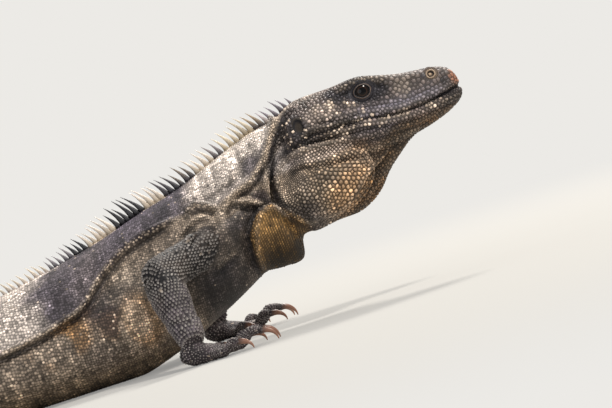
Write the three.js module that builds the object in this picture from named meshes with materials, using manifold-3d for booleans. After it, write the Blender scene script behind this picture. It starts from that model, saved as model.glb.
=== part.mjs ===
// A black spiny-tailed iguana, a large male, alert with its head up and its belly and tail on the ground.
// Millimetres, +Z up, head towards +X, the animal's left towards +Y. The origin is on the ground under the
// belly, and the ground is z = 0. Each named mesh is one part of the body that a person would name.
import * as THREE from "three";
import { mergeVertices } from "three/addons/utils/BufferGeometryUtils.js";
import Module from "manifold-3d";

const wasm = await Module();
wasm.setup();

// Driving dimensions
const SNOUT_X = 210;
const VENT_X = -182;
const TAIL_LENGTH = 640;
const SHOULDER_CUT_X = 88;
const EYE_RADIUS = 6.2;
const GAP = 0.3; // clear space between two touching parts
const GROUND_SINK = 1.2; // how far round forms press into the ground before they are cut flat
const SMALLEST_EDGE = 0.12; // detail finer than this, left where two forms cross, is smoothed away

// Skin colours
const SLATE = new THREE.MeshStandardMaterial({ color: "#5d5754", roughness: 0.8 });
const UMBER = new THREE.MeshStandardMaterial({ color: "#5a4a39", roughness: 0.8 });
const OCHRE = new THREE.MeshStandardMaterial({ color: "#7d6240", roughness: 0.8 });
const SOOT = new THREE.MeshStandardMaterial({ color: "#3c3634", roughness: 0.75 });
const HORN = new THREE.MeshStandardMaterial({ color: "#7a5644", roughness: 0.45 });
const EYE_BLACK = new THREE.MeshStandardMaterial({ color: "#1b1512", roughness: 0.1 });
const EARDRUM = new THREE.MeshStandardMaterial({ color: "#2d2825", roughness: 0.6 });

// ---- Interpolation ----

// One named size at x, on a smooth curve through the stations that never overshoots them.
function sizeAt(stations, name, x) {
  const xs = stations.map((s) => s.x);
  const ys = stations.map((s) => s[name]);
  const last = xs.length - 1;
  const clamped = Math.min(Math.max(x, xs[0]), xs[last]);
  const i = Math.min(Math.max(xs.findIndex((v) => v > clamped) - 1, 0), last - 1);
  const k = clamped >= xs[last] ? last - 1 : i;
  const slope = (j) => (ys[j + 1] - ys[j]) / (xs[j + 1] - xs[j]);
  const tangent = (j) => {
    if (j === 0) return slope(0);
    if (j === last) return slope(last - 1);
    const before = slope(j - 1);
    const after = slope(j);
    return before * after <= 0 ? 0 : (2 * before * after) / (before + after);
  };
  const h = xs[k + 1] - xs[k];
  const t = (clamped - xs[k]) / h;
  const t2 = t * t;
  const t3 = t2 * t;
  return (
    (2 * t3 - 3 * t2 + 1) * ys[k] +
    (t3 - 2 * t2 + t) * h * tangent(k) +
    (3 * t2 - 2 * t3) * ys[k + 1] +
    (t3 - t2) * h * tangent(k + 1)
  );
}

const range = (count) => [...Array(count).keys()];
const spread = (from, to, count) => range(count).map((i) => from + ((to - from) * i) / (count - 1));
const degrees = THREE.MathUtils.degToRad;
const vec = (x, y, z) => new THREE.Vector3(x, y, z);

// ---- Geometry ----

// A closed surface over rings of points, each end closed by a fan to the ring's middle.
function loft(rings) {
  const sides = rings[0].length;
  const points = rings.flat();
  const index = [];
  for (let r = 0; r + 1 < rings.length; r++) {
    for (let i = 0; i < sides; i++) {
      const a = r * sides + i;
      const b = r * sides + ((i + 1) % sides);
      index.push(a, b, b + sides, a, b + sides, a + sides);
    }
  }
  const ends = [rings[0], rings[rings.length - 1]];
  ends.forEach((ring, end) => {
    const middle = ring.reduce((sum, p) => sum.add(p), vec(0, 0, 0)).divideScalar(sides);
    const start = end ? points.length - 1 - sides : 0;
    points.push(middle);
    for (let i = 0; i < sides; i++) {
      const a = start + i;
      const b = start + ((i + 1) % sides);
      const m = points.length - 1;
      end ? index.push(a, b, m) : index.push(b, a, m);
    }
  });
  return facingOut(new THREE.BufferGeometry().setFromPoints(points).setIndex(index));
}

// The same geometry with its faces turned outwards.
function facingOut(geometry) {
  const p = geometry.attributes.position;
  const index = [...geometry.index.array];
  const [a, b, c] = [vec(), vec(), vec()];
  let volume = 0;
  for (let i = 0; i < index.length; i += 3) {
    a.fromBufferAttribute(p, index[i]);
    b.fromBufferAttribute(p, index[i + 1]);
    c.fromBufferAttribute(p, index[i + 2]);
    volume += a.dot(b.cross(c));
  }
  if (volume < 0) for (let i = 0; i < index.length; i += 3) [index[i], index[i + 1]] = [index[i + 1], index[i]];
  return geometry.setIndex(index);
}

// A copy whose every face has moved out by at least the gap, for cutting a neighbour back.
function grown(geometry, by = GAP + 0.05) {
  const copy = merged(geometry);
  const p = copy.attributes.position;
  const index = copy.index.array;
  const faces = range(p.count).map(() => []);
  for (let i = 0; i < index.length; i += 3) {
    const [a, b, c] = [0, 1, 2].map((k) => vec().fromBufferAttribute(p, index[i + k]));
    const normal = b.sub(a).cross(c.sub(a)).normalize();
    [0, 1, 2].forEach((k) => faces[index[i + k]].push(normal));
  }
  faces.forEach((normals, i) => {
    const out = normals.reduce((sum, n) => sum.add(n), vec(0, 0, 0)).normalize();
    const least = Math.max(0.35, Math.min(...normals.map((n) => n.dot(out))));
    const moved = vec().fromBufferAttribute(p, i).addScaledVector(out, by / least);
    p.setXYZ(i, moved.x, moved.y, moved.z);
  });
  return copy;
}

function merged(geometry) {
  const bare = geometry.clone();
  bare.deleteAttribute("normal");
  bare.deleteAttribute("uv");
  return mergeVertices(bare, 1e-4);
}

function solid(geometry) {
  const g = merged(geometry);
  return new wasm.Manifold(
    new wasm.Mesh({
      numProp: 3,
      vertProperties: new Float32Array(g.attributes.position.array),
      triVerts: new Uint32Array(g.index.array),
    }),
  );
}

const join = (solids) => solids.reduce((sum, s) => sum.add(s));
const cut = (body, cutters) => cutters.reduce((rest, c) => rest.subtract(c), body);
const biggest = (body) => body.decompose().sort((a, b) => b.volume() - a.volume())[0];
const onGround = (body) => body.trimByPlane([0, 0, 1], 0);
const ahead = (body, x) => body.trimByPlane([1, 0, 0], x + GAP / 2);
const behind = (body, x) => body.trimByPlane([-1, 0, 0], -(x - GAP / 2));

const iguana = new THREE.Group();

function place(name, body, material) {
  const m = biggest(onGround(body).simplify(SMALLEST_EDGE)).getMesh();
  const positions = new Float32Array(m.numVert * 3);
  for (let i = 0; i < m.numVert; i++)
    positions.set(m.vertProperties.subarray(i * m.numProp, i * m.numProp + 3), i * 3);
  const geometry = new THREE.BufferGeometry()
    .setAttribute("position", new THREE.BufferAttribute(positions, 3))
    .setIndex(new THREE.BufferAttribute(new Uint32Array(m.triVerts), 1));
  geometry.computeVertexNormals();
  const mesh = new THREE.Mesh(geometry, material);
  mesh.name = name;
  iguana.add(mesh);
}

// Rounded section across a body: half width to each side, and its own height above and below the middle.
function roundSection(middle, side, up, halfWidth, above, below, sides, power = 2) {
  return range(sides).map((i) => {
    const a = Math.PI / 2 + (2 * Math.PI * (i + 0.5)) / sides;
    const c = Math.cos(a);
    const s = Math.sin(a);
    const w = halfWidth * Math.sign(c) * Math.abs(c) ** (2 / power);
    const h = (s > 0 ? above : below) * Math.sign(s) * Math.abs(s) ** (2 / power);
    return middle.clone().addScaledVector(side, w).addScaledVector(up, h);
  });
}

// ---- Torso: neck and trunk in one form, belly pressed on the ground ----

const TORSO = [
  { x: -190, top: 41, bottom: -GROUND_SINK, halfWidth: 22, widest: 18 },
  { x: -182, top: 42, bottom: -GROUND_SINK, halfWidth: 23.5, widest: 19 },
  { x: -155, top: 46.5, bottom: -GROUND_SINK, halfWidth: 30, widest: 21 },
  { x: -112, top: 51, bottom: -GROUND_SINK, halfWidth: 37.5, widest: 22 },
  { x: -65, top: 56.5, bottom: -GROUND_SINK, halfWidth: 42.5, widest: 23 },
  { x: -25, top: 63, bottom: -GROUND_SINK, halfWidth: 43, widest: 25 },
  { x: 10, top: 70.5, bottom: -GROUND_SINK, halfWidth: 40.5, widest: 29 },
  { x: 36, top: 78, bottom: 5, halfWidth: 37.5, widest: 38 },
  { x: 62, top: 86, bottom: 15, halfWidth: 34.5, widest: 49 },
  { x: 88, top: 96, bottom: 28, halfWidth: 30.5, widest: 61 },
  { x: 106, top: 101.5, bottom: 39, halfWidth: 27, widest: 70 },
  { x: 119, top: 103.2, bottom: 50, halfWidth: 23, widest: 77 },
];
const TORSO_SIDES = 16;
const TORSO_RINGS = [-190, -168, -142, -112, -75, -38, -5, 18, 36, 54, 72, 88, 104, 119];

function torsoRing(x) {
  const size = (name) => sizeAt(TORSO, name, x);
  const middle = vec(x, 0, size("widest"));
  const above = size("top") - middle.z;
  const below = middle.z - size("bottom");
  return roundSection(middle, vec(0, 1, 0), vec(0, 0, 1), size("halfWidth"), above, below, TORSO_SIDES, 2.1);
}
const torsoForm = loft(TORSO_RINGS.map(torsoRing));

// ---- Head ----

// Half a section of the head, from crown to chin: [half width, height] of the brow edge, the temple or cheek,
// the lip and the jaw.
const HEAD = [
  { x: 117.5, top: 103.6, browW: 14, browZ: 101, cheekW: 24.5, cheekZ: 91, lipW: 26.5, lipZ: 80, jawW: 23, jawZ: 67, bottom: 58 },
  { x: 130, top: 107.8, browW: 14, browZ: 105, cheekW: 24, cheekZ: 95, lipW: 25.5, lipZ: 86.5, jawW: 23, jawZ: 75, bottom: 62 },
  { x: 146, top: 107.9, browW: 14, browZ: 106.6, cheekW: 20, cheekZ: 97, lipW: 22.5, lipZ: 87.5, jawW: 20, jawZ: 77.5, bottom: 66 },
  { x: 160, top: 108.4, browW: 14.6, browZ: 108.3, cheekW: 16.4, cheekZ: 98, lipW: 19.5, lipZ: 87.5, jawW: 17.3, jawZ: 79, bottom: 69 },
  { x: 172, top: 106.2, browW: 11.6, browZ: 105.6, cheekW: 13.6, cheekZ: 96, lipW: 16.6, lipZ: 87, jawW: 14.8, jawZ: 79, bottom: 71 },
  { x: 186, top: 103.9, browW: 8.8, browZ: 102.4, cheekW: 11.4, cheekZ: 95, lipW: 13.2, lipZ: 87, jawW: 11.8, jawZ: 80, bottom: 73.5 },
  { x: 198, top: 102.8, browW: 7.2, browZ: 100.6, cheekW: 9.6, cheekZ: 95, lipW: 10.4, lipZ: 87.4, jawW: 9.2, jawZ: 81.4, bottom: 77 },
  { x: 205.5, top: 100.4, browW: 5.2, browZ: 98.6, cheekW: 7.1, cheekZ: 94.4, lipW: 7.6, lipZ: 87.7, jawW: 6.6, jawZ: 83, bottom: 80.6 },
  { x: SNOUT_X - 1, top: 96.4, browW: 2.7, browZ: 95.8, cheekW: 4, cheekZ: 93, lipW: 4.8, lipZ: 87.9, jawW: 3.8, jawZ: 84.6, bottom: 83.4 },
  { x: SNOUT_X + 0.4, top: 92, browW: 0.8, browZ: 91.6, cheekW: 1.6, cheekZ: 90.2, lipW: 2.4, lipZ: 88, jawW: 1.6, jawZ: 86.4, bottom: 85.9 },
];
const MOUTH_CORNER_X = 129;
const MOUTH_Z = 87.6;
const HEAD_SIDES = 16;

function headRing(x) {
  const size = (name) => sizeAt(HEAD, name, x);
  const half = ["brow", "cheek", "lip", "jaw"].map((n) => [size(n + "W"), size(n + "Z")]);
  const outline = [
    vec(x, 0, size("top")),
    ...half.map(([w, z]) => vec(x, w, z)),
    vec(x, 0, size("bottom")),
    ...half.reverse().map(([w, z]) => vec(x, -w, z)),
  ];
  const curve = new THREE.CatmullRomCurve3(outline, true, "catmullrom", 0.5);
  return range(HEAD_SIDES).map((i) => curve.getPoint(i / HEAD_SIDES));
}
const HEAD_RINGS = [117.5, 124, 131, 139, 147, 154, 161, 167, 175, 184, 192, 199, 204.5, 207.6, 209.4, SNOUT_X + 0.4];
const headForm = loft(HEAD_RINGS.map(headRing));

// A ball squeezed to three half axes, its front end raised by the tip and its outer face by the lean.
function ellipsoid(place, halfX, halfY, halfZ, { tip = 0, lean = 0, around = 10, along = 7 } = {}) {
  return new THREE.SphereGeometry(1, around, along)
    .rotateX(Math.PI / 2)
    .scale(halfX, halfY, halfZ)
    .rotateY(-degrees(tip))
    .rotateX(degrees(lean))
    .translate(place.x, place.y, place.z);
}

const LEFT_RIGHT = [
  { tag: "L", side: 1 },
  { tag: "R", side: -1 },
];
const JOWL = { x: 131, y: 12.5, z: 64, halfX: 26, halfY: 18, halfZ: 17.8, tip: 9 };
const EYE = { x: 161.8, y: 10.4, z: 100.8 };
const EAR = { x: 125.6, y: 21.4, z: 94.6, halfX: 4.6, halfY: 2.2, halfZ: 6.4, tip: 12, lean: 26 };
const NOSTRIL = { x: 197.6, y: 9.4, z: 98.2, radius: 1.9 };
const onSide = (spot, side) => vec(spot.x, side * spot.y, spot.z);

const jowlForm = (side) =>
  ellipsoid(onSide(JOWL, side), JOWL.halfX, JOWL.halfY, JOWL.halfZ, { tip: JOWL.tip, around: 14, along: 8 });
const eyeForm = (side) => ellipsoid(onSide(EYE, side), EYE_RADIUS, EYE_RADIUS, EYE_RADIUS);
const earForm = (side) => {
  const turned = { tip: EAR.tip, lean: side * EAR.lean, around: 8, along: 4 };
  return ellipsoid(onSide(EAR, side), EAR.halfX, EAR.halfY, EAR.halfZ, turned);
};
const nostrilForm = (side) => {
  const r = NOSTRIL.radius;
  return ellipsoid(onSide(NOSTRIL, side), r * 1.25, r, r, { tip: 30, around: 6, along: 4 });
};

// ---- Throat pouch: a keeled bag under the jaw ----

const THROAT = [
  { x: 108, middle: 66, bottom: 41, halfWidth: 17 },
  { x: 119, middle: 68, bottom: 41.2, halfWidth: 17 },
  { x: 132, middle: 70, bottom: 43.3, halfWidth: 15.5 },
  { x: 142, middle: 72, bottom: 43.8, halfWidth: 13.5 },
  { x: 150, middle: 74, bottom: 46.6, halfWidth: 11.5 },
  { x: 157, middle: 76, bottom: 51.5, halfWidth: 9.8 },
  { x: 163, middle: 77, bottom: 58.5, halfWidth: 8.6 },
  { x: 170, middle: 78, bottom: 64.6, halfWidth: 7.6 },
  { x: 178, middle: 79, bottom: 70.6, halfWidth: 6.5 },
  { x: 186, middle: 80, bottom: 74.5, halfWidth: 5 },
];
const THROAT_ROOF = 4; // height of the bag above its widest level, inside the jaw
const throatForm = loft(
  spread(THROAT[0].x, 186, 9).map((x) => {
    const size = (name) => sizeAt(THROAT, name, x);
    const below = size("middle") - size("bottom");
    return roundSection(vec(x, 0, size("middle")), vec(0, 1, 0), vec(0, 0, 1), size("halfWidth"), THROAT_ROOF, below, 10);
  }),
);

// ---- Gular fold: the loose bag of skin that hangs in front of the chest ----

const GULAR = [
  { x: 28.2, front: 6.5, halfWidth: 5 },
  { x: 29.6, front: 10.2, halfWidth: 9.5 },
  { x: 34, front: 12.2, halfWidth: 15 },
  { x: 41, front: 12.8, halfWidth: 20 },
  { x: 49, front: 12.6, halfWidth: 24.5 },
  { x: 56, front: 10.6, halfWidth: 26.5 },
  { x: 59.5, front: 7, halfWidth: 25.5 },
  { x: 61, front: 3, halfWidth: 22 },
]; // here x is the height of the level, and front the half length from front to back
const GULAR_X = 99.8;
const gularForm = loft(
  GULAR.map(({ x: z, front, halfWidth }) =>
    roundSection(vec(GULAR_X, 0, z), vec(0, 1, 0), vec(1, 0, 0), halfWidth, front, front, 12, 2.5),
  ),
);

// ---- Crest of horny spines along the back ----

// A flat four-sided spine that leans back and sweeps to a point, with its root sunk in the skin.
function spine(root, height, length, thickness, lean) {
  const at = (along, across, lift) => root.clone().add(vec(along, across, lift));
  const level = (lift, shift, share) => [
    at((length / 2) * share - shift, 0, lift),
    at(-shift, (thickness / 2) * share, lift),
    at((-length / 2) * share - shift, 0, lift),
    at(-shift, (-thickness / 2) * share, lift),
  ];
  const rings = [level(-1.5, -0.4, 1.05), level(height * 0.5, lean * 0.36, 0.68)];
  const points = [...rings.flat(), at(-lean, 0, height)];
  const index = [0, 1, 2, 0, 2, 3];
  for (let i = 0; i < 4; i++) {
    const next = (i + 1) % 4;
    index.push(i, 4 + i, 4 + next, i, 4 + next, next, 4 + i, 8, 4 + next);
  }
  return solid(facingOut(new THREE.BufferGeometry().setFromPoints(points).setIndex(index)));
}

const CREST_FIRST_X = 125;
const CREST_LAST_X = -206;
const CREST_PITCH = 6.2;
const CREST = [
  { x: -200, height: 2.6 },
  { x: -165, height: 3.4 },
  { x: -115, height: 4 },
  { x: -60, height: 5.5 },
  { x: -30, height: 8 },
  { x: 0, height: 11 },
  { x: 35, height: 12.5 },
  { x: 65, height: 11.6 },
  { x: 100, height: 10.4 },
  { x: 118, height: 8 },
  { x: 126, height: 3.6 },
];

function crestSpines(fromX, toX) {
  const count = Math.floor((CREST_FIRST_X - CREST_LAST_X) / CREST_PITCH);
  return range(count)
    .map((i) => ({ i, x: CREST_FIRST_X - i * CREST_PITCH }))
    .filter(({ x }) => x - 3 > fromX && x + 3 < toX)
    .map(({ i, x }) => {
      const height = sizeAt(CREST, "height", x) * (1 - 0.12 * ((i * 7) % 3)); // long and short ones by turns
      const z = x < VENT_X ? tailTop(VENT_X - x) : sizeAt(TORSO, "top", x);
      return spine(vec(x, 0, z), height, 4.8, 2.4, height * 0.75);
    });
}

// ---- Tail: whorls of spiny scales, curving over the ground ----

const TAIL = [
  { x: 0, halfWidth: 23.5, height: 43.2 },
  { x: 40, halfWidth: 18.8, height: 36 },
  { x: 100, halfWidth: 15, height: 29 },
  { x: 200, halfWidth: 11.4, height: 22 },
  { x: 350, halfWidth: 7.4, height: 14.6 },
  { x: 500, halfWidth: 4.2, height: 8.6 },
  { x: TAIL_LENGTH, halfWidth: 1.3, height: 2.8 },
]; // x is the distance from the vent along the tail
const TAIL_BEND = 46; // how far the tail's heading swings, in degrees
const WHORL_PITCH = 15;
const TAIL_SIDES = 7;
const WHORL_STEP = 0.13; // how far the spines of a whorl stand out, as a share of the tail's half width

const tailHeading = (s) => {
  const t = s / TAIL_LENGTH;
  return Math.PI - degrees(TAIL_BEND) * Math.sin(Math.PI * Math.min(1, 1.25 * t)) ** 2 * Math.cos(1.9 * t);
};
const tailTop = (s) => sizeAt(TAIL, "height", s) - GROUND_SINK;

// Points along the tail's line, one a millimetre.
const tailLine = [vec(VENT_X, 0, 0)];
for (let s = 0; s < TAIL_LENGTH + 1; s++)
  tailLine.push(tailLine[s].clone().add(vec(Math.cos(tailHeading(s)), Math.sin(tailHeading(s)), 0)));

function tailRing(s, swell) {
  const height = sizeAt(TAIL, "height", s);
  const heading = tailHeading(s);
  const side = vec(-Math.sin(heading), Math.cos(heading), 0);
  const at = tailLine[Math.round(s)];
  const middle = vec(at.x, at.y, height * 0.46 - GROUND_SINK);
  const halfWidth = sizeAt(TAIL, "halfWidth", s) * swell;
  return roundSection(middle, side, vec(0, 0, 1), halfWidth, height * 0.54 * swell, height * 0.46, TAIL_SIDES);
}

function tailSolid() {
  const rings = [tailRing(0, 1)];
  let s = 10;
  while (s < TAIL_LENGTH - WHORL_PITCH) {
    const step = WHORL_STEP * THREE.MathUtils.smoothstep(s, 0, 60);
    rings.push(tailRing(s, 1 - step * 0.3), tailRing(s + WHORL_PITCH - 1.5, 1 + step));
    s += WHORL_PITCH;
  }
  rings.push(tailRing((s + TAIL_LENGTH) / 2, 1), tailRing(TAIL_LENGTH, 1));
  return solid(loft(rings));
}

// ---- Limbs ----

// A limb length from a to b with round ends. Its shape gives half its width and half its depth at named
// shares of the way, and bow is how far its middle stands off the straight line.
function limb(a, b, shape, bow = vec(0, 0, 0)) {
  const sides = 8;
  const axis = b.clone().sub(a);
  const length = axis.length();
  axis.normalize();
  const side = vec(0, 0, 1).cross(axis).normalize();
  const up = axis.clone().cross(side).normalize();
  const first = shape[0].deep;
  const final = shape[shape.length - 1].deep;
  const stations = shape.map(({ at, ...sizes }) => ({ x: at * length, ...sizes }));
  const stops = [-0.9 * first, -0.45 * first, ...[0.12, 0.34, 0.66, 0.92].map((k) => k * length)];
  return loft(
    [...stops, length + 0.45 * final, length + 0.9 * final].map((d) => {
      const past = d < 0 ? -d / first : Math.max(0, (d - length) / final);
      const round = Math.sqrt(1 - past * past);
      const along = Math.min(Math.max(d, 0), length) / length;
      const middle = a.clone().addScaledVector(axis, d).addScaledVector(bow, Math.sin(Math.PI * along));
      const wide = sizeAt(stations, "wide", d) * round;
      const deep = sizeAt(stations, "deep", d) * round;
      return roundSection(middle, side, up, wide, deep, deep, sides);
    }),
  );
}

// A finger or toe: it leaves the palm low, arches over its last joint and ends where the claw starts.
function digitLine(root, heading, length, arch) {
  const forward = vec(Math.cos(heading), Math.sin(heading), 0);
  const heights = [root.z, 3.4, 3.1, arch, arch * 0.86];
  return heights.map((z, i) => {
    const p = root.clone().addScaledVector(forward, (length * i) / (heights.length - 1));
    return p.setZ(z);
  });
}

function digitForm(line, rootRadius, tipRadius) {
  const swell = [1, 0.98, 0.95, 1.12, 0.9]; // joint pads
  return loft(
    line.map((p, i) => {
      const next = line[Math.min(i + 1, line.length - 1)];
      const before = line[Math.max(i - 1, 0)];
      const axis = next.clone().sub(before).normalize();
      const side = vec(0, 0, 1).cross(axis).normalize();
      const up = axis.clone().cross(side);
      const r = THREE.MathUtils.lerp(rootRadius, tipRadius, i / (line.length - 1)) * swell[i];
      return roundSection(p, side, up, r * 1.08, r, r * 0.95, 5);
    }),
  );
}

// A claw: a hooked horn that leaves the last joint and bends down to the ground.
function clawForm(line, length, radius) {
  const end = line[line.length - 1];
  const axis = end.clone().sub(line[line.length - 2]).setZ(0).normalize();
  const side = vec(0, 0, 1).cross(axis).normalize();
  const drop = end.z - 0.7;
  return loft(
    [-0.14, 0.3, 0.65, 1].map((t) => {
      const turn = degrees(14 + 74 * Math.max(t, 0));
      const forward = axis.clone().multiplyScalar(Math.cos(turn)).add(vec(0, 0, -Math.sin(turn)));
      const up = forward.clone().cross(side).negate();
      const middle = end
        .clone()
        .addScaledVector(axis, length * Math.sin((Math.PI / 2) * t) * 0.86)
        .add(vec(0, 0, -drop * Math.max(t, 0) ** 1.7));
      const r = radius * (1 - 0.8 * Math.max(t, 0) ** 1.3);
      return roundSection(middle, side, up, r * 0.8, r, r, 4);
    }),
  );
}

// The palm or sole and its digits. Heading 0 points to +X and turns outwards on each side.
function extremity({ name, root, heading, side, palm, digits, claw, clearOf, material }) {
  const forward = vec(Math.cos(heading), Math.sin(heading), 0);
  const across = vec(-Math.sin(heading), Math.cos(heading), 0);
  const palmForm = loft(
    palm.map(({ at, halfWidth, height }) => {
      const middle = root.clone().addScaledVector(forward, at).setZ(height * 0.46 - GROUND_SINK * 0.3);
      return roundSection(middle, across, vec(0, 0, 1), halfWidth, height * 0.54, height * 0.46, 8, 2.3);
    }),
  );
  const forms = digits.map((d) => {
    const start = root
      .clone()
      .addScaledVector(forward, d.from)
      .addScaledVector(across, side * d.offset)
      .setZ(4.6);
    const line = digitLine(start, heading + side * degrees(d.turn), d.length, d.arch);
    return { line, form: digitForm(line, d.radius, d.radius * 0.8) };
  });
  place(name, cut(join([solid(palmForm), ...forms.map((f) => solid(f.form))]), clearOf), material);
  forms.forEach(({ line, form }, i) => {
    const hooked = clawForm(line, claw.length, claw.radius);
    place(`${name}_claw_${i + 1}`, cut(solid(hooked), [solid(grown(form))]), HORN);
  });
}

const HAND_PALM = [
  { at: -8, halfWidth: 3, height: 8.4 },
  { at: -3, halfWidth: 6.8, height: 12.6 },
  { at: 4, halfWidth: 8.8, height: 10.6 },
  { at: 10, halfWidth: 9.4, height: 8.4 },
  { at: 15, halfWidth: 7.6, height: 6.4 },
];
const FINGERS = [
  { from: 3, offset: -7, turn: -46, length: 14.5, radius: 2.5, arch: 5.6 },
  { from: 9, offset: -5.8, turn: -18, length: 20.5, radius: 2.6, arch: 7.4 },
  { from: 10.5, offset: -1.8, turn: -4, length: 25, radius: 2.7, arch: 8.6 },
  { from: 10.5, offset: 2.8, turn: 8, length: 25, radius: 2.7, arch: 8.4 },
  { from: 6.5, offset: 6.6, turn: 25, length: 19, radius: 2.5, arch: 6.6 },
];
const FOOT_PALM = [
  { at: -11, halfWidth: 3, height: 8 },
  { at: -5, halfWidth: 7.4, height: 13 },
  { at: 10, halfWidth: 9.6, height: 10.6 },
  { at: 22, halfWidth: 10.8, height: 8.6 },
  { at: 30, halfWidth: 8.4, height: 6.6 },
];
const TOES = [
  { from: 14, offset: -8, turn: -38, length: 18, radius: 2.6, arch: 5.8 },
  { from: 23, offset: -7, turn: -16, length: 29, radius: 2.8, arch: 7.2 },
  { from: 26, offset: -2.8, turn: -4, length: 41, radius: 2.9, arch: 8.2 },
  { from: 26, offset: 2.8, turn: 6, length: 55, radius: 2.9, arch: 8.4 },
  { from: 8, offset: 8, turn: 42, length: 35, radius: 2.7, arch: 6.6 },
];

const ARMS = {
  L: { shoulder: vec(86, 19, 57), elbow: vec(43, 57, 45), wrist: vec(55, 80, 15), heading: 8 },
  R: { shoulder: vec(87, -19, 57), elbow: vec(39.5, -56, 46), wrist: vec(45, -78, 15.5), heading: -3 },
};
const LEGS = {
  L: { hip: vec(-158, 13, 23), knee: vec(-114, 80, 30), ankle: vec(-166, 106, 12), heading: 14 },
  R: { hip: vec(-160, -13, 23), knee: vec(-121, -82, 30), ankle: vec(-177, -104, 12), heading: -13 },
};
const UPPER_ARM = [
  { at: 0, wide: 13, deep: 15 },
  { at: 0.35, wide: 10.6, deep: 12.4 },
  { at: 0.7, wide: 9, deep: 10.6 },
  { at: 1, wide: 9.4, deep: 10.2 },
];
const FOREARM = [
  { at: 0, wide: 9.4, deep: 9.8 },
  { at: 0.3, wide: 10.6, deep: 10.8 },
  { at: 0.75, wide: 8.4, deep: 8.4 },
  { at: 1, wide: 7.2, deep: 6.6 },
];
const THIGH = [
  { at: 0, wide: 20, deep: 17 },
  { at: 0.4, wide: 18.5, deep: 17 },
  { at: 0.75, wide: 14, deep: 14 },
  { at: 1, wide: 11.5, deep: 12.2 },
];
const SHANK = [
  { at: 0, wide: 11.6, deep: 11.8 },
  { at: 0.3, wide: 13, deep: 12.6 },
  { at: 0.7, wide: 9.4, deep: 9.4 },
  { at: 1, wide: 7.6, deep: 7.2 },
];

// ---- The parts of the body ----

const torso = solid(torsoForm);
const torsoCutter = solid(grown(torsoForm));
const headCutter = solid(grown(headForm));
const throatCutter = solid(grown(throatForm));
const bothSides = (form) => LEFT_RIGHT.map(({ side }) => form(side));
const cutters = (forms) => forms.map((form) => solid(grown(form)));
const jowlCutters = cutters(bothSides(jowlForm));

const skull = cut(solid(headForm), [
  ...cutters(bothSides(eyeForm)),
  ...cutters(bothSides(earForm)),
  ...bothSides(nostrilForm).map(solid),
]);
const jaws = ahead(skull, MOUTH_CORNER_X);
place("head", join([behind(skull, MOUTH_CORNER_X + GAP), jaws.trimByPlane([0, 0, 1], MOUTH_Z)]), SLATE);
place("lower_jaw", jaws.trimByPlane([0, 0, -1], -(MOUTH_Z - GAP)), SLATE);
place("throat", cut(solid(throatForm), [headCutter, torsoCutter]), UMBER);
for (const { tag, side } of LEFT_RIGHT) {
  const jowl = solid(jowlForm(side)).trimByPlane([0, side, 0], GAP);
  place(`eye_${tag}`, solid(eyeForm(side)), EYE_BLACK);
  place(`ear_${tag}`, solid(earForm(side)), EARDRUM);
  place(`jowl_${tag}`, cut(jowl, [headCutter, throatCutter]), OCHRE);
}

const neck = cut(ahead(torso, SHOULDER_CUT_X), [headCutter, ...jowlCutters]);
const napeSpines = crestSpines(SHOULDER_CUT_X, CREST_FIRST_X + 5).map((s) => cut(s, [headCutter]));
place("neck", join([neck, ...napeSpines]), SLATE);
place("gular_fold", cut(solid(gularForm), [torsoCutter, throatCutter, headCutter, ...jowlCutters]), OCHRE);
const trunk = ahead(behind(torso, SHOULDER_CUT_X), VENT_X);
place("trunk", join([trunk, ...crestSpines(VENT_X, SHOULDER_CUT_X)]), SLATE);

const tail = join([tailSolid(), ...crestSpines(-230, VENT_X)]);
const TAIL_CUTS_X = [VENT_X, -360, -570];
place("tail_base", ahead(behind(tail, TAIL_CUTS_X[0]), TAIL_CUTS_X[1]), SLATE);
place("tail_middle", ahead(behind(tail, TAIL_CUTS_X[1]), TAIL_CUTS_X[2]), SLATE);
place("tail_tip", behind(tail, TAIL_CUTS_X[2]), SOOT);

for (const { tag, side } of LEFT_RIGHT) {
  const arm = ARMS[tag];
  const upperArm = limb(arm.shoulder, arm.elbow, UPPER_ARM);
  const forearm = limb(arm.elbow, arm.wrist, FOREARM);
  const bag = solid(grown(gularForm));
  place(`upper_arm_${tag}`, cut(solid(upperArm), [torsoCutter, bag]), SOOT);
  place(`forearm_${tag}`, cut(solid(forearm), [torsoCutter, solid(grown(upperArm))]), SOOT);
  extremity({
    name: `hand_${tag}`,
    root: arm.wrist,
    heading: degrees(arm.heading),
    side,
    palm: HAND_PALM,
    digits: FINGERS,
    claw: { length: 7.5, radius: 2 },
    clearOf: [solid(grown(forearm))],
    material: SOOT,
  });

  const leg = LEGS[tag];
  const thigh = limb(leg.hip, leg.knee, THIGH);
  const shank = limb(leg.knee, leg.ankle, SHANK);
  place(`thigh_${tag}`, cut(solid(thigh), [torsoCutter]), SOOT);
  place(`shank_${tag}`, cut(solid(shank), [torsoCutter, solid(grown(thigh))]), SOOT);
  extremity({
    name: `foot_${tag}`,
    root: leg.ankle,
    heading: degrees(leg.heading),
    side,
    palm: FOOT_PALM,
    digits: TOES,
    claw: { length: 8, radius: 2.1 },
    clearOf: [solid(grown(shank))],
    material: SOOT,
  });
}

export default iguana;
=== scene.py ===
# A black spiny-tailed iguana, a large male, still and alert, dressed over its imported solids.
# Sizes are in millimetres and become metres where a mesh is made.
import itertools
import math
import bpy
import numpy as np
from mathutils import Matrix, Vector
from mathutils.bvhtree import BVHTree
from mathutils.kdtree import KDTree


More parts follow.
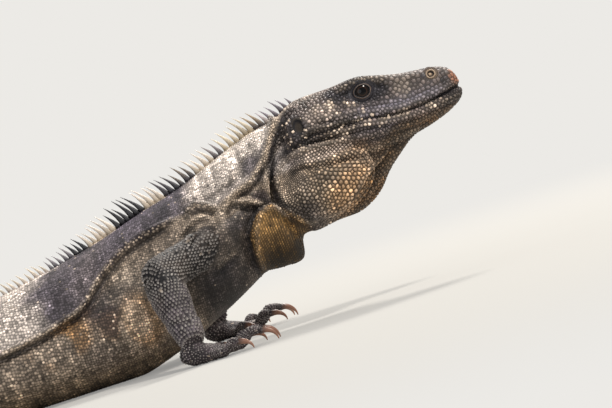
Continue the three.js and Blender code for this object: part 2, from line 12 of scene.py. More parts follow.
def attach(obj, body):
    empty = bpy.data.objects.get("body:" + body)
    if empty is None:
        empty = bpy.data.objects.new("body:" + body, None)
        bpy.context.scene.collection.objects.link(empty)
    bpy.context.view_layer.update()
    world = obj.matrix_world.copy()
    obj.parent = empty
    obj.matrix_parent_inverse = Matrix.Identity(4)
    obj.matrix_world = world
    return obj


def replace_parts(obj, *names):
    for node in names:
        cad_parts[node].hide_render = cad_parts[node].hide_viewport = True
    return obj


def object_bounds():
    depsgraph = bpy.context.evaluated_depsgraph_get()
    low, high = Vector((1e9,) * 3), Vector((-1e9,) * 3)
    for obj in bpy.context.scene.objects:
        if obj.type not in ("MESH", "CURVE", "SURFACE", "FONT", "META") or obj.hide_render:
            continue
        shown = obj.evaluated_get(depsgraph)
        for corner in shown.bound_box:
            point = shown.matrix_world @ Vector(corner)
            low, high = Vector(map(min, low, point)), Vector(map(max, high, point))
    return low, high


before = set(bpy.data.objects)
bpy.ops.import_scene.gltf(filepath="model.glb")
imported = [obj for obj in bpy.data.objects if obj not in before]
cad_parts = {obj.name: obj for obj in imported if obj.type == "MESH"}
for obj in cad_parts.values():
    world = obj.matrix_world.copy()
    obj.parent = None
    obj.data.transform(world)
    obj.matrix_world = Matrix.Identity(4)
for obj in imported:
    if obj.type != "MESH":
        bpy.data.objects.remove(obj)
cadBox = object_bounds()
rng = np.random.default_rng(20)
mm = 0.001
bothSides = (1, -1)  # left, right


# Interpolation and small maths

def smooth(low, high, value):
    t = np.clip((value - low) / (high - low), 0, 1)
    return t * t * (3 - 2 * t)


def bump(distance, width):
    return np.exp(-(distance / width) ** 2)


def unit(v):
    return v / np.maximum(np.linalg.norm(v, axis=-1, keepdims=True), 1e-9)


def turned(u, v, degrees):  # a flat vector seen from axes turned by this angle
    t = math.radians(degrees)
    return u * math.cos(t) + v * math.sin(t), v * math.cos(t) - u * math.sin(t)


def stationCurve(xs, ys, x):  # a smooth curve through the stations that never overshoots them
    xs, ys, x = np.asarray(xs, float), np.asarray(ys, float), np.asarray(x, float)
    slope = np.diff(ys) / np.diff(xs)
    tangent = np.concatenate([slope[:1], np.zeros(len(xs) - 2), slope[-1:]])
    both = slope[:-1] * slope[1:]
    tangent[1:-1] = np.where(both > 0, 2 * both / np.where(both > 0, slope[:-1] + slope[1:], 1), 0)
    x = np.clip(x, xs[0], xs[-1])
    k = np.clip(np.searchsorted(xs, x, side="right") - 1, 0, len(xs) - 2)
    h = xs[k + 1] - xs[k]
    t = (x - xs[k]) / h
    return ((2 * t**3 - 3 * t**2 + 1) * ys[k] + (t**3 - 2 * t**2 + t) * h * tangent[k]
            + (3 * t**2 - 2 * t**3) * ys[k + 1] + (t**3 - t**2) * h * tangent[k + 1])


def sizeAt(stations, column, x):
    table = np.asarray(stations, float)
    return stationCurve(table[:, 0], table[:, column], x)


def sizesAt(stations, x):  # every column at one place
    return [float(sizeAt(stations, k, x)) for k in range(1, len(stations[0]))]


noiseHash = {"axes": (73856093, 19349663, 83492791), "seed": 2654435761, "mix": 1274126177, "bits": 0xFFFFFF}


def latticeNoise(points, cell, seed):  # smooth random values from 0 to 1, cell millimetres apart
    grid = np.floor(points / cell).astype(np.int64)
    part = points / cell - grid
    part = part * part * (3 - 2 * part)
    total = np.zeros(len(points))
    for corner in range(8):
        step = np.array([corner & 1, corner >> 1 & 1, corner >> 2 & 1])
        x, y, z = ((grid + step) * noiseHash["axes"]).T
        mixed = x ^ y ^ z ^ (seed * noiseHash["seed"])
        value = ((mixed ^ (mixed >> 13)) * noiseHash["mix"] & noiseHash["bits"]) / noiseHash["bits"]
        total += value * np.prod(np.where(step, part, 1 - part), axis=1)
    return total


def runLength(line):  # how far along a line each of its points lies
    return np.concatenate([[0], np.cumsum(np.linalg.norm(np.diff(line, axis=0), axis=1))])


def softCurve(curve, count=60):  # a drawn line made smooth
    curve = np.asarray(curve, float)
    s = runLength(curve)
    at = np.linspace(0, s[-1], count)
    return np.stack([stationCurve(s, curve[:, 0], at), stationCurve(s, curve[:, 1], at)], axis=1)


def curveDistance(points, curve):  # distance to a drawn line, its side, and how far along from 0 to 1
    best = np.full(len(points), 1e9)
    side = np.zeros(len(points))
    share = np.zeros(len(points))
    for i in range(len(curve) - 1):
        a, b = curve[i], curve[i + 1]
        d = b - a
        t = np.clip(((points - a) @ d) / (d @ d), 0, 1)
        away = points - (a + t[:, None] * d)
        dist = np.linalg.norm(away, axis=1)
        closer = dist < best
        best[closer] = dist[closer]
        side[closer] = np.sign(d[0] * away[closer, 1] - d[1] * away[closer, 0])
        share[closer] = (i + t[closer]) / (len(curve) - 1)
    return best, side, share


# Solid forms: rings of points, closed at both ends by loft, left open by openLoft

def ringFaces(count, sides):
    i = np.arange(sides)
    j = (i + 1) % sides
    row = np.arange(count - 1)[:, None] * sides
    return np.stack([row + i, row + j, row + sides + j, row + sides + i], 2).reshape(-1, 4).tolist()


def openLoft(rings):
    rings = np.asarray(rings)
    return rings.reshape(-1, 3), ringFaces(*rings.shape[:2])


def loft(rings):
    points, faces = openLoft(rings)
    sides = len(rings[0])
    i = np.arange(sides)
    j = (i + 1) % sides
    last = len(points) - sides
    faces += np.stack([j, i, np.full(sides, len(points))], 1).tolist()
    faces += np.stack([last + i, last + j, np.full(sides, len(points) + 1)], 1).tolist()
    return np.concatenate([points, points[:sides].mean(0)[None], points[last:].mean(0)[None]]), faces


def outline(a, halfWidth, above, below, power):  # a rounded section at the angles a
    c, s = np.cos(a), np.sin(a)
    w = halfWidth * np.sign(c) * np.abs(c) ** (2 / power)
    return w, np.where(s > 0, above, below) * np.sign(s) * np.abs(s) ** (2 / power)


def roundSection(middle, side, up, halfWidth, above, below, sides, power=2.0):
    w, h = outline(2 * np.pi * (np.arange(sides) + 0.5) / sides, halfWidth, above, below, power)
    return np.asarray(middle) + w[:, None] * np.asarray(side) + h[:, None] * np.asarray(up)


def ellipsoidForm(centre, half, tip=0, sides=40, levels=24):
    a = 2 * np.pi * np.arange(sides) / sides
    rings = [np.stack([np.full(sides, np.cos(p)), np.sin(p) * np.cos(a), np.sin(p) * np.sin(a)], 1)
             for p in np.pi * (np.arange(1, levels) / levels)]
    rings = np.asarray(rings) * np.asarray(half)
    x, z = turned(rings[..., 0], rings[..., 2], -tip)
    return loft(np.stack([x, rings[..., 1], z], -1) + np.asarray(centre))


def joinedForms(forms):
    faces, base = [], 0
    for points, own in forms:
        faces += [[i + base for i in face] for face in own]
        base += len(points)
    return np.concatenate([points for points, _ in forms]), faces


upward, across, forward = (np.array(axis, float) for axis in ((0, 0, 1), (0, 1, 0), (1, 0, 0)))


def headingAxes(heading):  # level, ahead and to the left
    c, s = math.cos(heading), math.sin(heading)
    return np.array([c, s, 0]), np.array([-s, c, 0])


def lineAxes(line):
    axis = unit(np.gradient(line, axis=0))
    side = unit(np.cross(upward, axis))
    return axis, side, np.cross(axis, side)


# Torso and neck

torso = {
    "sink": 1.2,  # how far round forms press into the ground
    "power": 2.1,  # 2 is an oval, more is boxier
    # x, top, bottom, half width, height of the widest level
    "stations": [
        (-190, 41, -1.2, 22, 18), (-182, 42, -1.2, 23.5, 19), (-155, 46.5, -1.2, 30, 21),
        (-112, 51, -1.2, 37.5, 22), (-65, 56.5, -1.2, 42.5, 23), (-25, 63, -1.2, 43, 25),
        (10, 70.5, -1.2, 40.5, 29), (36, 78, 5, 37.5, 38), (62, 86, 15, 34.5, 49),
        (88, 96, 28, 30.5, 61), (106, 101.5, 39, 27, 70), (119, 103.2, 50, 23, 77),
    ],
}


def torsoRing(x):
    top, bottom, half, widest = sizesAt(torso["stations"], x)
    return roundSection((x, 0, widest), across, upward, half, top - widest, widest - bottom, 72, torso["power"])


# Head: half sections of the crown, the brow edge, the cheek, the lip and the jaw

head = {
    # x, top, brow (half width, height), cheek, lip, jaw, bottom
    "stations": [
        (117.5, 103.6, 14, 101, 24.5, 91, 26.5, 80, 23, 67, 58),
        (130, 107.8, 14, 105, 24, 95, 25.5, 86.5, 23, 75, 62),
        (146, 107.9, 14, 106.6, 20, 97, 22.5, 87.5, 20, 77.5, 66),
        (160, 108.4, 14.6, 108.3, 16.4, 98, 19.5, 87.5, 17.3, 79, 69),
        (172, 106.2, 11.6, 105.6, 13.6, 96, 16.6, 87, 14.8, 79, 71),
        (186, 103.9, 8.8, 102.4, 11.4, 95, 13.2, 87, 11.8, 80, 73.5),
        (198, 102.8, 7.2, 100.6, 9.6, 95, 10.4, 87.4, 9.2, 81.4, 77),
        (205.5, 100.4, 5.2, 98.6, 7.1, 94.4, 7.6, 87.7, 6.6, 83, 80.6),
        (209, 96.4, 2.7, 95.8, 4, 93, 4.8, 87.9, 3.8, 84.6, 83.4),
        (210.4, 92, 0.8, 91.6, 1.6, 90.2, 2.4, 88, 1.6, 86.4, 85.9),
    ],
    "jowl": {"centre": (131, 12.5, 64), "half": (26, 18, 17.8), "tip": 9},
    # x, widest level, bottom, half width
    "throat": [
        (108, 66, 41, 17), (119, 68, 41.2, 17), (132, 70, 43.3, 15.5), (142, 72, 43.8, 13.5),
        (150, 74, 46.6, 11.5), (157, 76, 51.5, 9.8), (163, 77, 58.5, 8.6), (170, 78, 64.6, 7.6),
        (178, 79, 70.6, 6.5), (186, 80, 74.5, 5),
    ],
    "throatRoof": 4,  # height of the throat above its widest level, inside the jaw
    # height, half length, half width
    "flap": [
        (28.2, 6.5, 5), (29.6, 10.2, 9.5), (34, 12.2, 15), (41, 12.8, 20), (49, 12.6, 24.5), (56, 10.6, 26.5),
        (59.5, 7, 25.5), (61, 3, 22),
    ],
    "flapX": 99.8,
}


def headRing(x, sides=64):
    row = sizesAt(head["stations"], x)
    half = np.array([[0, row[0]]] + [[row[k], row[k + 1]] for k in (1, 3, 5, 7)] + [[0, row[9]]])
    whole = np.concatenate([half, half[-2:0:-1] * [-1, 1]])  # right round, once
    u = np.arange(sides) / sides * len(whole)
    k = np.floor(u).astype(int)
    t = (u - k)[:, None]
    p0, p1, p2, p3 = (whole[(k + d) % len(whole)] for d in (-1, 0, 1, 2))
    cubic = 3 * p1 - p0 - 3 * p2 + p3
    yz = 0.5 * (2 * p1 + (p2 - p0) * t + (2 * p0 - 5 * p1 + 4 * p2 - p3) * t**2 + cubic * t**3)
    return np.column_stack([np.full(sides, x), yz])


# Tail

tail = {
    "ventX": -182,
    "length": 640,
    "bend": 46,  # how far its heading swings, in degrees
    # distance from the vent, half width, height
    "stations": [(0, 23.5, 43.2), (40, 18.8, 36), (100, 15, 29), (200, 11.4, 22), (350, 7.4, 14.6),
                 (500, 4.2, 8.6), (640, 1.3, 2.8)],
    "whorls": (10.2, 6.4),  # space from whorl to whorl at the root and at the tip
}


def tailHeading(s):
    t = np.asarray(s, float) / tail["length"]
    return np.pi - math.radians(tail["bend"]) * np.sin(np.pi * np.minimum(1, 1.25 * t)) ** 2 * np.cos(1.9 * t)


tailSteps = np.arange(0, tail["length"] + 2.0)
tailTurns = tailHeading(tailSteps[:-1])
tailX = np.concatenate([[tail["ventX"]], tail["ventX"] + np.cumsum(np.cos(tailTurns))])
tailY = np.concatenate([[0], np.cumsum(np.sin(tailTurns))])


def tailSection(s):  # middle, side, half width, above and below at s along the tail
    halfWidth, height = sizesAt(tail["stations"], s)
    x, y = np.interp(s, tailSteps, tailX), np.interp(s, tailSteps, tailY)
    middle = np.array([x, y, height * 0.46 - torso["sink"]])
    return middle, headingAxes(float(tailHeading(s)))[1], halfWidth, height * 0.54, height * 0.46


def tailRing(s):
    middle, side, halfWidth, above, below = tailSection(s)
    return roundSection(middle, side, upward, halfWidth, above, below, 40)


# Limbs: shapes are share of the way, half width, half depth

limbs = {
    "arms": {
        "L": {"joints": [(86, 19, 57), (43, 57, 45), (55, 80, 15)], "heading": 8},
        "R": {"joints": [(87, -19, 57), (39.5, -56, 46), (45, -78, 15.5)], "heading": -3},
    },
    "legs": {
        "L": {"joints": [(-158, 13, 23), (-114, 80, 30), (-166, 106, 12)], "heading": 14},
        "R": {"joints": [(-160, -13, 23), (-121, -82, 30), (-177, -104, 12)], "heading": -13},
    },
    "upperArm": [(0, 13, 15), (0.35, 10.6, 12.4), (0.7, 9, 10.6), (1, 9.4, 10.2)],
    "forearm": [(0, 9.4, 9.8), (0.3, 10.6, 10.8), (0.75, 8.4, 8.4), (1, 7.2, 6.6)],
    "thigh": [(0, 20, 17), (0.4, 18.5, 17), (0.75, 14, 14), (1, 11.5, 12.2)],
    "shank": [(0, 11.6, 11.8), (0.3, 13, 12.6), (0.7, 9.4, 9.4), (1, 7.6, 7.2)],
}
# Palms are distance along, half width, height. Digits are start, offset, turn, length, radius and arch.
hand = {
    "palm": [(-8, 3, 8.4), (-3, 6.8, 12.6), (4, 8.8, 10.6), (10, 9.4, 8.4), (15, 7.6, 6.4)],
    "digits": [(3, -7, -46, 14.5, 2.5, 5.6), (9, -5.8, -18, 20.5, 2.6, 7.4), (10.5, -1.8, -4, 25, 2.7, 8.6),
               (10.5, 2.8, 8, 25, 2.7, 8.4), (6.5, 6.6, 25, 19, 2.5, 6.6)],
    "claw": (7.5, 2.0),
}
foot = {
    "palm": [(-11, 3, 8), (-5, 7.4, 13), (10, 9.6, 10.6), (22, 10.8, 8.6), (30, 8.4, 6.6)],
    "digits": [(14, -8, -38, 18, 2.6, 5.8), (23, -7, -16, 29, 2.8, 7.2), (26, -2.8, -4, 41, 2.9, 8.2),
               (26, 2.8, 6, 55, 2.9, 8.4), (8, 8, 42, 35, 2.7, 6.6)],
    "claw": (8.0, 2.1),
}
digitShape = {
    "rootHeight": 4.6,
    "joints": (3.4, 3.1),  # height over the ground at the first two joints after the root
    "lastJoint": 0.86,  # its height, as a share of the arch
    "swell": [1, 0.98, 0.95, 1.12, 0.9],
    "taper": 0.2,
}


def limbSection(a, b, shape, d):  # middle, side, up, half width and half depth at d from a
    a, b = np.asarray(a, float), np.asarray(b, float)
    length = np.linalg.norm(b - a)
    axis = (b - a) / length
    side = unit(np.cross(upward, axis))
    past = -d / shape[0][2] if d < 0 else max(0.0, (d - length) / shape[-1][2])
    roundOff = math.sqrt(max(0.0, 1 - past * past))
    wide, deep = (size * roundOff for size in sizesAt(shape, d / length))
    return a + axis * d, side, np.cross(axis, side), wide, deep


def limbForm(a, b, shape):
    length = np.linalg.norm(np.subtract(b, a))
    around = np.sin(np.linspace(-0.49 * np.pi, 0, 8))
    stops = np.concatenate([shape[0][2] * around, np.linspace(0, length, 26)[1:-1],
                            length - shape[-1][2] * around[::-1]])
    rings = []
    for d in stops:
        middle, side, up, wide, deep = limbSection(a, b, shape, float(d))
        rings.append(roundSection(middle, side, up, wide, deep, deep, 40))
    return loft(rings)


def digitLine(root, heading, length, arch):
    t = np.linspace(0, 1, 26)
    line = np.asarray(root)[None] + headingAxes(heading)[0] * (length * t)[:, None]
    heights = [root[2], *digitShape["joints"], arch, arch * digitShape["lastJoint"]]
    line[:, 2] = stationCurve(np.linspace(0, 1, 5), heights, t)
    return line


def digitForm(line, radius):
    t = np.linspace(0, 1, len(line))
    radii = radius * (1 - digitShape["taper"] * t) * stationCurve(np.linspace(0, 1, 5), digitShape["swell"], t)
    _, side, up = lineAxes(line)
    return loft([roundSection(*at, r * 1.05, r, r * 0.95, 20) for *at, r in zip(line, side, up, radii)])


def extremityParts(root, heading, side, shape):
    ahead, aside = headingAxes(heading)
    stops = np.linspace(shape["palm"][0][0], shape["palm"][-1][0], 26)
    rings = []
    for at in stops:
        halfWidth, height = sizesAt(shape["palm"], at)
        middle = np.asarray(root) + ahead * at
        middle[2] = height * 0.46 - torso["sink"] * 0.3
        heel = 4.4 * max(0.0, (2 - at) / (2 - stops[0])) ** 2.2
        above, below = height * 0.54, height * 0.46 - heel
        rings.append(roundSection(middle, aside, upward, halfWidth, above, below, 32, 2.3))
    lines = []
    for start, offset, turn, length, radius, arch in shape["digits"]:
        begin = np.asarray(root) + ahead * start + aside * side * offset
        begin[2] = digitShape["rootHeight"]
        lines.append((digitLine(begin, heading + side * math.radians(turn), length, arch), radius))
    return loft(rings), lines


limbParts, digitParts, palmForms = [], [], []  # for the forms and for their scales
for kind, names, shape in (("arms", ("upperArm", "forearm"), hand), ("legs", ("thigh", "shank"), foot)):
    for tag, side in (("L", 1), ("R", -1)):
        joints = limbs[kind][tag]["joints"]
        limbParts += [{"kind": kind, "name": name, "a": joints[n], "b": joints[n + 1], "shape": limbs[name]}
                      for n, name in enumerate(names)]
        palm, lines = extremityParts(joints[2], math.radians(limbs[kind][tag]["heading"]), side, shape)
        palmForms.append(palm)
        digitParts += [{"kind": kind, "line": line, "radius": r, "claw": shape["claw"]} for line, r in lines]


# One skin over all the flesh

skinSettings = {
    "voxel": 0.8,
    "triangles": 196000,
    "softening": 22,  # passes that round off where limbs and folds meet the body
    "floor": 0.45,  # lowest point of the skin
}


def meshFrom(name, points, faces):
    mesh = bpy.data.meshes.new(name)
    mesh.from_pydata((np.asarray(points) * mm).tolist(), [], faces)
    mesh.validate()
    obj = bpy.data.objects.new(name, mesh)
    bpy.context.scene.collection.objects.link(obj)
    return obj


def applied(obj):  # the object with its modifiers made part of a plain mesh
    graph = bpy.context.evaluated_depsgraph_get()
    whole = obj.evaluated_get(graph)
    mesh = bpy.data.meshes.new_from_object(whole, preserve_all_data_layers=True, depsgraph=graph)
    obj.modifiers.clear()
    obj.data = mesh


def readVectors(items, field):
    values = np.empty(len(items) * 3, np.float32)
    items.foreach_get(field, values)
    return values.reshape(-1, 3).astype(float)


def readPoints(mesh):
    return readVectors(mesh.vertices, "co") / mm


def writePoints(mesh, points):
    mesh.vertices.foreach_set("co", (points * mm).astype(np.float32).ravel())
    mesh.update()


def fleshForms():
    headStops = np.concatenate([np.linspace(117.5, 204, 60), np.linspace(205, 210.4, 14)])
    forms = [loft([torsoRing(x) for x in np.linspace(-190, 119, 90)]), loft([headRing(x) for x in headStops])]
    centre, half, tip = head["jowl"].values()
    forms += [ellipsoidForm(np.array(centre) * [1, side, 1], half, tip) for side in bothSides]
    rings = []
    for x in np.linspace(108, 186, 40):
        level, bottom, half = sizesAt(head["throat"], x)
        rings.append(roundSection((x, 0, level), across, upward, half, head["throatRoof"], level - bottom, 40))
    forms.append(loft(rings))
    rings = []
    for z in np.linspace(28.2, 61, 30):
        front, half = sizesAt(head["flap"], z)
        rings.append(roundSection((head["flapX"], 0, z), across, forward, half, front, front, 48, 2.5))
    forms.append(loft(rings))
    forms.append(loft([tailRing(s) for s in np.linspace(-8, tail["length"] - 1, 200)]))
    forms += [limbForm(p["a"], p["b"], p["shape"]) for p in limbParts]
    return forms + palmForms + [digitForm(p["line"], p["radius"]) for p in digitParts]


def relax(points, edges, weight, passes):
    degree = np.bincount(edges.ravel(), minlength=len(points)).astype(float)
    for _ in range(passes):
        mean = np.empty_like(points)
        for k in range(3):
            total = np.bincount(edges[:, 0], points[edges[:, 1], k], len(points))
            total += np.bincount(edges[:, 1], points[edges[:, 0], k], len(points))
            mean[:, k] = total / degree
        points = points + (mean - points) * (0.55 * weight)[:, None]
    return points


# Folds, lips and wrinkles, drawn as lines in the side view (x, z) and pressed into both sides

folds = {
    # line; ridge height, width; crease depth, width, offset; step depth, reach. + is left of the line's way
    "mouth": ([(210.8, 88.1), (206, 88.1), (202, 87.7), (193, 86.3), (185, 85.4), (178.6, 85.2), (168, 86.4),
               (157, 88.3), (150, 88.6), (138, 89.2)], 0, 1, 2.3, 0.8, 0, 0, 1),
    "gape": ([(214, 89.2), (208, 88.9), (202, 88), (196, 86.8)], 0, 1, 1.8, 0.9, 0, 0, 1),
    "mouthCorner": ([(160, 88.2), (150, 89.4), (138, 90.4), (131.3, 90.8), (124.5, 87.4)],
                    1.8, 1.4, 1.8, 1.1, 1.9, 0, 1),
    "upperLip": ([(208, 90.1), (193, 88.9), (178.6, 87.9), (160, 90.6), (146, 92)], 0.7, 1.5, 0.4, 1, -2.6,
                  0, 1),
    "lowerLip": ([(209, 85.4), (193, 83.6), (178.6, 82.6), (160, 85.2), (146, 86)], 0.8, 1.6, 0.8, 0.9, 2.6,
                  0, 1),
    "jawUpper": ([(196, 80.4), (180, 78.8), (164, 79), (148, 81.4), (134, 84.4)], 0.7, 1.5, 0.8, 1.0, 2.2,
                  0, 1),
    "jawLower": ([(186, 76.2), (172, 73.4), (160, 72.4), (148, 73.6), (138, 76)], 0.8, 1.6, 0.9, 1.1, 2.4,
                  0, 1),
    "brow": ([(149, 104.6), (155, 106.4), (163, 107), (170, 105.2), (176.5, 102)], 1.7, 1.7, 0.8, 1.4, -3.2,
              0, 1),
    "canthus": ([(176, 102.8), (185, 101.6), (193, 101.2)], 0.5, 1.6, 0.3, 1.5, -3, 0, 1),
    "cheekFold": ([(157, 93.5), (149, 92.6), (141, 94.2), (134, 95)], 0.9, 1.4, 1.1, 1.0, 1.9, 0, 1),
    "cheekLow": ([(154, 84.6), (144, 86.2), (133, 86.4), (122, 83.2)], 1.1, 1.4, 0.7, 1.1, 2.2, 0, 1),
    "jowlRim": ([(146, 80.6), (137, 82.4), (127, 83), (119.5, 82.4), (112.6, 79.2), (109, 75), (107.4, 69),
                 (107.6, 62), (109.4, 56), (113.2, 50.2), (119, 46.2), (124, 45.6)], 1.9, 1.3, 0, 1, 0,
                 -4.4, 4.2),
    "jowlBand": ([(150, 74.5), (140, 74), (130, 75.4), (120, 76.6), (113, 74.6)], 1.0, 1.4, 1.4, 1.2, 2.2,
                  0, 1),
    "jowlFront": ([(168, 72), (160, 66.4), (151.6, 62), (146.3, 57.1), (138.7, 51.2), (129.7, 46.8),
                   (122, 45.4)], 1.1, 1.3, 0, 1, 0, 1.8, 4.0),
    "throatA": ([(176, 70), (164, 62.4), (154, 54.4), (146, 49)], 0.6, 1.2, 0.6, 1.0, 2.0, 0, 1),
    "throatB": ([(170, 65.5), (162, 58), (154, 50.6)], 0.5, 1.2, 0.5, 1.0, 2.0, 0, 1),
    "neckFront": ([(127.7, 107), (119.2, 103.5), (113, 96.1), (108, 88.3), (104.4, 79.9), (102.8, 70.6),
                   (103.2, 63.5), (106, 57), (110, 52)], 3.6, 1.6, 3.2, 1.4, 3.0, 0, 1),
    "neckRear": ([(119.5, 104), (112, 94.6), (105.6, 86), (100.6, 80.6), (94, 75.8), (87.3, 73.6), (80, 70.4),
                  (75.8, 68)], 3.6, 1.6, 3.2, 1.4, 3.0, 0, 1),
    "shoulder": ([(75.8, 68), (71, 71.6), (65.9, 73.3), (60, 71)], 3.4, 1.6, 2.6, 1.4, 2.8, 0, 1),
    "throatBand": ([(77, 66.4), (85, 69.6), (93, 66.6), (101, 61.6)], 3.0, 1.5, 2.4, 1.3, -2.7, 0, 1),
    "flapRim": ([(106, 57.4), (101, 60.6), (97, 60.2), (93.6, 57), (90.6, 51), (88.4, 44), (87.4, 36),
                 (89.4, 30)], 1.3, 1.3, 0, 1, 0, -6.0, 6.5),
    "chest": ([(66, 40.5), (72, 43.4), (79, 45.6)], 1.2, 2.2, 0.8, 1.8, -3.4, 0, 1),
    "flank": ([(60, 71), (51, 69.7), (41.3, 68.2), (27.4, 64.3), (17.3, 59.2), (9.1, 53.6), (2.9, 47.5),
               (-3.4, 42), (-13.2, 39.6), (-24.9, 36.5), (-60, 31.5), (-110, 27.5), (-146, 24.5)], 3.0,
               1.25, 1.2, 1.0, 2.6, 2.4, 5.0),
    "wrinkleA": ([(98, 92), (94, 86), (88, 81), (80, 78)], 0.9, 1.3, 0.8, 1.2, 2.4, 0, 1),
    "wrinkleB": ([(74, 62), (67, 63.5), (61, 61), (56, 56)], 1.7, 1.4, 1.6, 1.3, 2.5, 0, 1),
    "wrinkleC": ([(72, 66), (66, 67), (60, 65), (53, 61)], 1.7, 1.3, 1.5, 1.2, 2.3, 0, 1),
    "wrinkleD": ([(84, 80), (76, 76.5), (66, 77), (58, 75.5)], 0.7, 1.5, 0.6, 1.4, 2.4, 0, 1),
    "rib": ([(30, 60), (22, 44), (20, 26)], 0.5, 4.0, 0.5, 4.0, 7, 0, 1),
    "ribRear": ([(-2, 38), (-8, 26), (-8, 12)], 0.5, 4.0, 0.5, 4.0, 7, 0, 1),
    "hip": ([(-118, 44), (-132, 42), (-146, 36)], 0.8, 3.5, 0.8, 3.0, -6, 0, 1),
}
# Dents and swellings: centre (x, z), half sizes, height
swellings = {
    "orbit": ((162.5, 100.6), (11, 6.4), -2.1),
    "hollow": ((115.2, 90), (4.2, 8.5), -3.0),
    "hollowLow": ((105.2, 66), (2.6, 8), -1.6),
    "temple": ((141, 98.5), (9, 5), 0.7),
    "nostrilMound": ((197.4, 98.8), (4.6, 4.0), 0.9),
    "cheekHollow": ((173, 94), (7, 4), -0.6),
    "armpit": ((74, 42), (9, 9), -3.0),
    "shoulderPit": ((98.5, 66.5), (6, 4.5), -2.8),
}
# The opening of the eye stands off the middle of the ball, a little ahead and up
eye = {"centre": (161.8, 10.4, 100.8), "radius": 6.2, "opening": (4.1, 3.15), "tilt": 6, "off": (0.3, 0.6),
       "socket": 4.2}
nostril = {"centre": (197.2, 98.8), "pit": 2.2, "depth": 2.6}
ear = {"centre": (126.4, 94.2), "half": (2.7, 3.9), "depth": 2.2}
gape = {"z": 89.2, "depth": 1.5, "width": 0.9}  # the lips part at the very front


def eyeShare(x, z):  # distance from the middle of the eye's opening, 1 at its edge
    (cx, _, cz), (dx, dz) = eye["centre"], eye["off"]
    along, over = turned(x - cx - dx, z - cz - dz, eye["tilt"])
    return np.hypot(along / eye["opening"][0], over / eye["opening"][1])


def sculpt(points, normals):
    flat = points[:, [0, 2]]
    facing = smooth(0.12, 0.45, np.abs(normals[:, 1]))
    move = np.zeros(len(points))
    detail = np.zeros(len(points), bool)
    for line, height, width, depth, creaseWidth, offset, step, stepReach in folds.values():
        curve = softCurve(line)
        reach = 3 * max(width, creaseWidth, stepReach if step else 0) + abs(offset)
        low, high = curve.min(0) - reach, curve.max(0) + reach
        near = np.flatnonzero(np.all((flat > low) & (flat < high), axis=1) & (facing > 0))
        distance, side, share = curveDistance(flat[near], curve[::2])
        signed = distance * side
        press = height * bump(distance, width) - depth * bump(signed - offset, creaseWidth)
        if step:
            past = signed * math.copysign(1, step)
            press -= abs(step) * smooth(0.3, 1.5, past) * np.exp(-np.clip(past - 1.5, 0, None) / stepReach)
        move[near] += press * (smooth(0, 0.1, share) * smooth(0, 0.12, 1 - share))
        detail[near] |= (distance < 2.2 * width + abs(offset)) & (max(height, depth, abs(step)) > 1)
    for (cx, cz), (hx, hz), height in swellings.values():
        rho = np.hypot((flat[:, 0] - cx) / hx, (flat[:, 1] - cz) / hz)
        move += height * np.exp(-(rho ** 2) * 1.1) * (rho < 3)
    move *= facing
    move -= gape["depth"] * bump(points[:, 2] - gape["z"], gape["width"]) * smooth(203, 206, points[:, 0])
    nostrilShare = np.hypot(*(flat - nostril["centre"]).T) / nostril["pit"]
    earShare = np.hypot(*((flat - ear["centre"]) / ear["half"]).T)
    pits = [(eyeShare(*flat.T), eye["socket"], 0.95, 1.35), (nostrilShare, nostril["depth"], 0.7, 1.25),
            (earShare, ear["depth"], 0.7, 1.3)]
    for share, depth, full, none in pits:
        move -= ((facing > 0.2) & (points[:, 0] > 118)) * depth * (1 - smooth(full, none, share))
    return points + normals * move[:, None], detail


def insetDepth(points):  # how far the skin lies under the solids: deeper where folds stand up from it
    x, y, z = points.T
    depth = 0.8 + smooth(40, 60, x) * (1 - smooth(112, 122, x)) - 0.3 * smooth(122, 140, x)
    depth = np.where((np.abs(y) > 62) & (z < 22), 0.4, depth)
    return np.where(x < tail["ventX"], 0.8 - 0.55 * smooth(-200, -780, x), depth)


def buildSkin():
    skin = meshFrom("skin", *joinedForms(fleshForms()))
    remesh = skin.modifiers.new("oneSkin", "REMESH")
    remesh.mode = "VOXEL"
    remesh.voxel_size = skinSettings["voxel"] * mm
    applied(skin)
    mesh = skin.data
    print("skin remeshed:", len(mesh.vertices), "points")
    points = readPoints(mesh)
    edges = np.empty(len(mesh.edges) * 2, np.int32)
    mesh.edges.foreach_get("vertices", edges)
    edges = edges.reshape(-1, 2)
    x, y, z = points.T
    digits = (np.abs(y) > 60) & (z < 24)
    weight = np.where(x > 124, 0.5, 1.0)
    weight = np.where(digits, 0.22, weight)
    weight = np.where((x > 200) | (x < -500), 0.3, weight)
    points = relax(points, edges, weight, skinSettings["softening"])
    writePoints(mesh, points)
    normals = readVectors(mesh.vertex_normals, "vector")
    points, detail = sculpt(points - normals * insetDepth(points)[:, None], normals)
    points = relax(points, edges, np.full(len(points), 0.6), 1)
    points[:, 2] = np.maximum(points[:, 2], skinSettings["floor"])
    writePoints(mesh, points)
    group = skin.vertex_groups.new(name="keepFine")
    fine = np.where(detail | (points[:, 0] > 104), 1.0, np.where(digits, 0.7, 0.2))
    for level in np.unique(fine):
        group.add(np.flatnonzero(fine == level).tolist(), float(level), "REPLACE")
    thin = skin.modifiers.new("thin", "DECIMATE")
    thin.ratio = min(1.0, skinSettings["triangles"] / sum(len(p.vertices) - 2 for p in mesh.polygons))
    thin.vertex_group = "keepFine"
    thin.invert_vertex_group = True
    thin.vertex_group_factor = 1.0
    applied(skin)
    skin.vertex_groups.clear()
    for p in skin.data.polygons:
        p.use_smooth = True
    print("skin:", len(skin.data.polygons), "faces")
    return skin


skin = buildSkin()
fleshNodes = [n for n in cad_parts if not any(word in n for word in ("claw", "eye", "ear_"))]
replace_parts(skin, *fleshNodes)
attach(skin, "root")


# Colours of the hide, written as they look in plain light

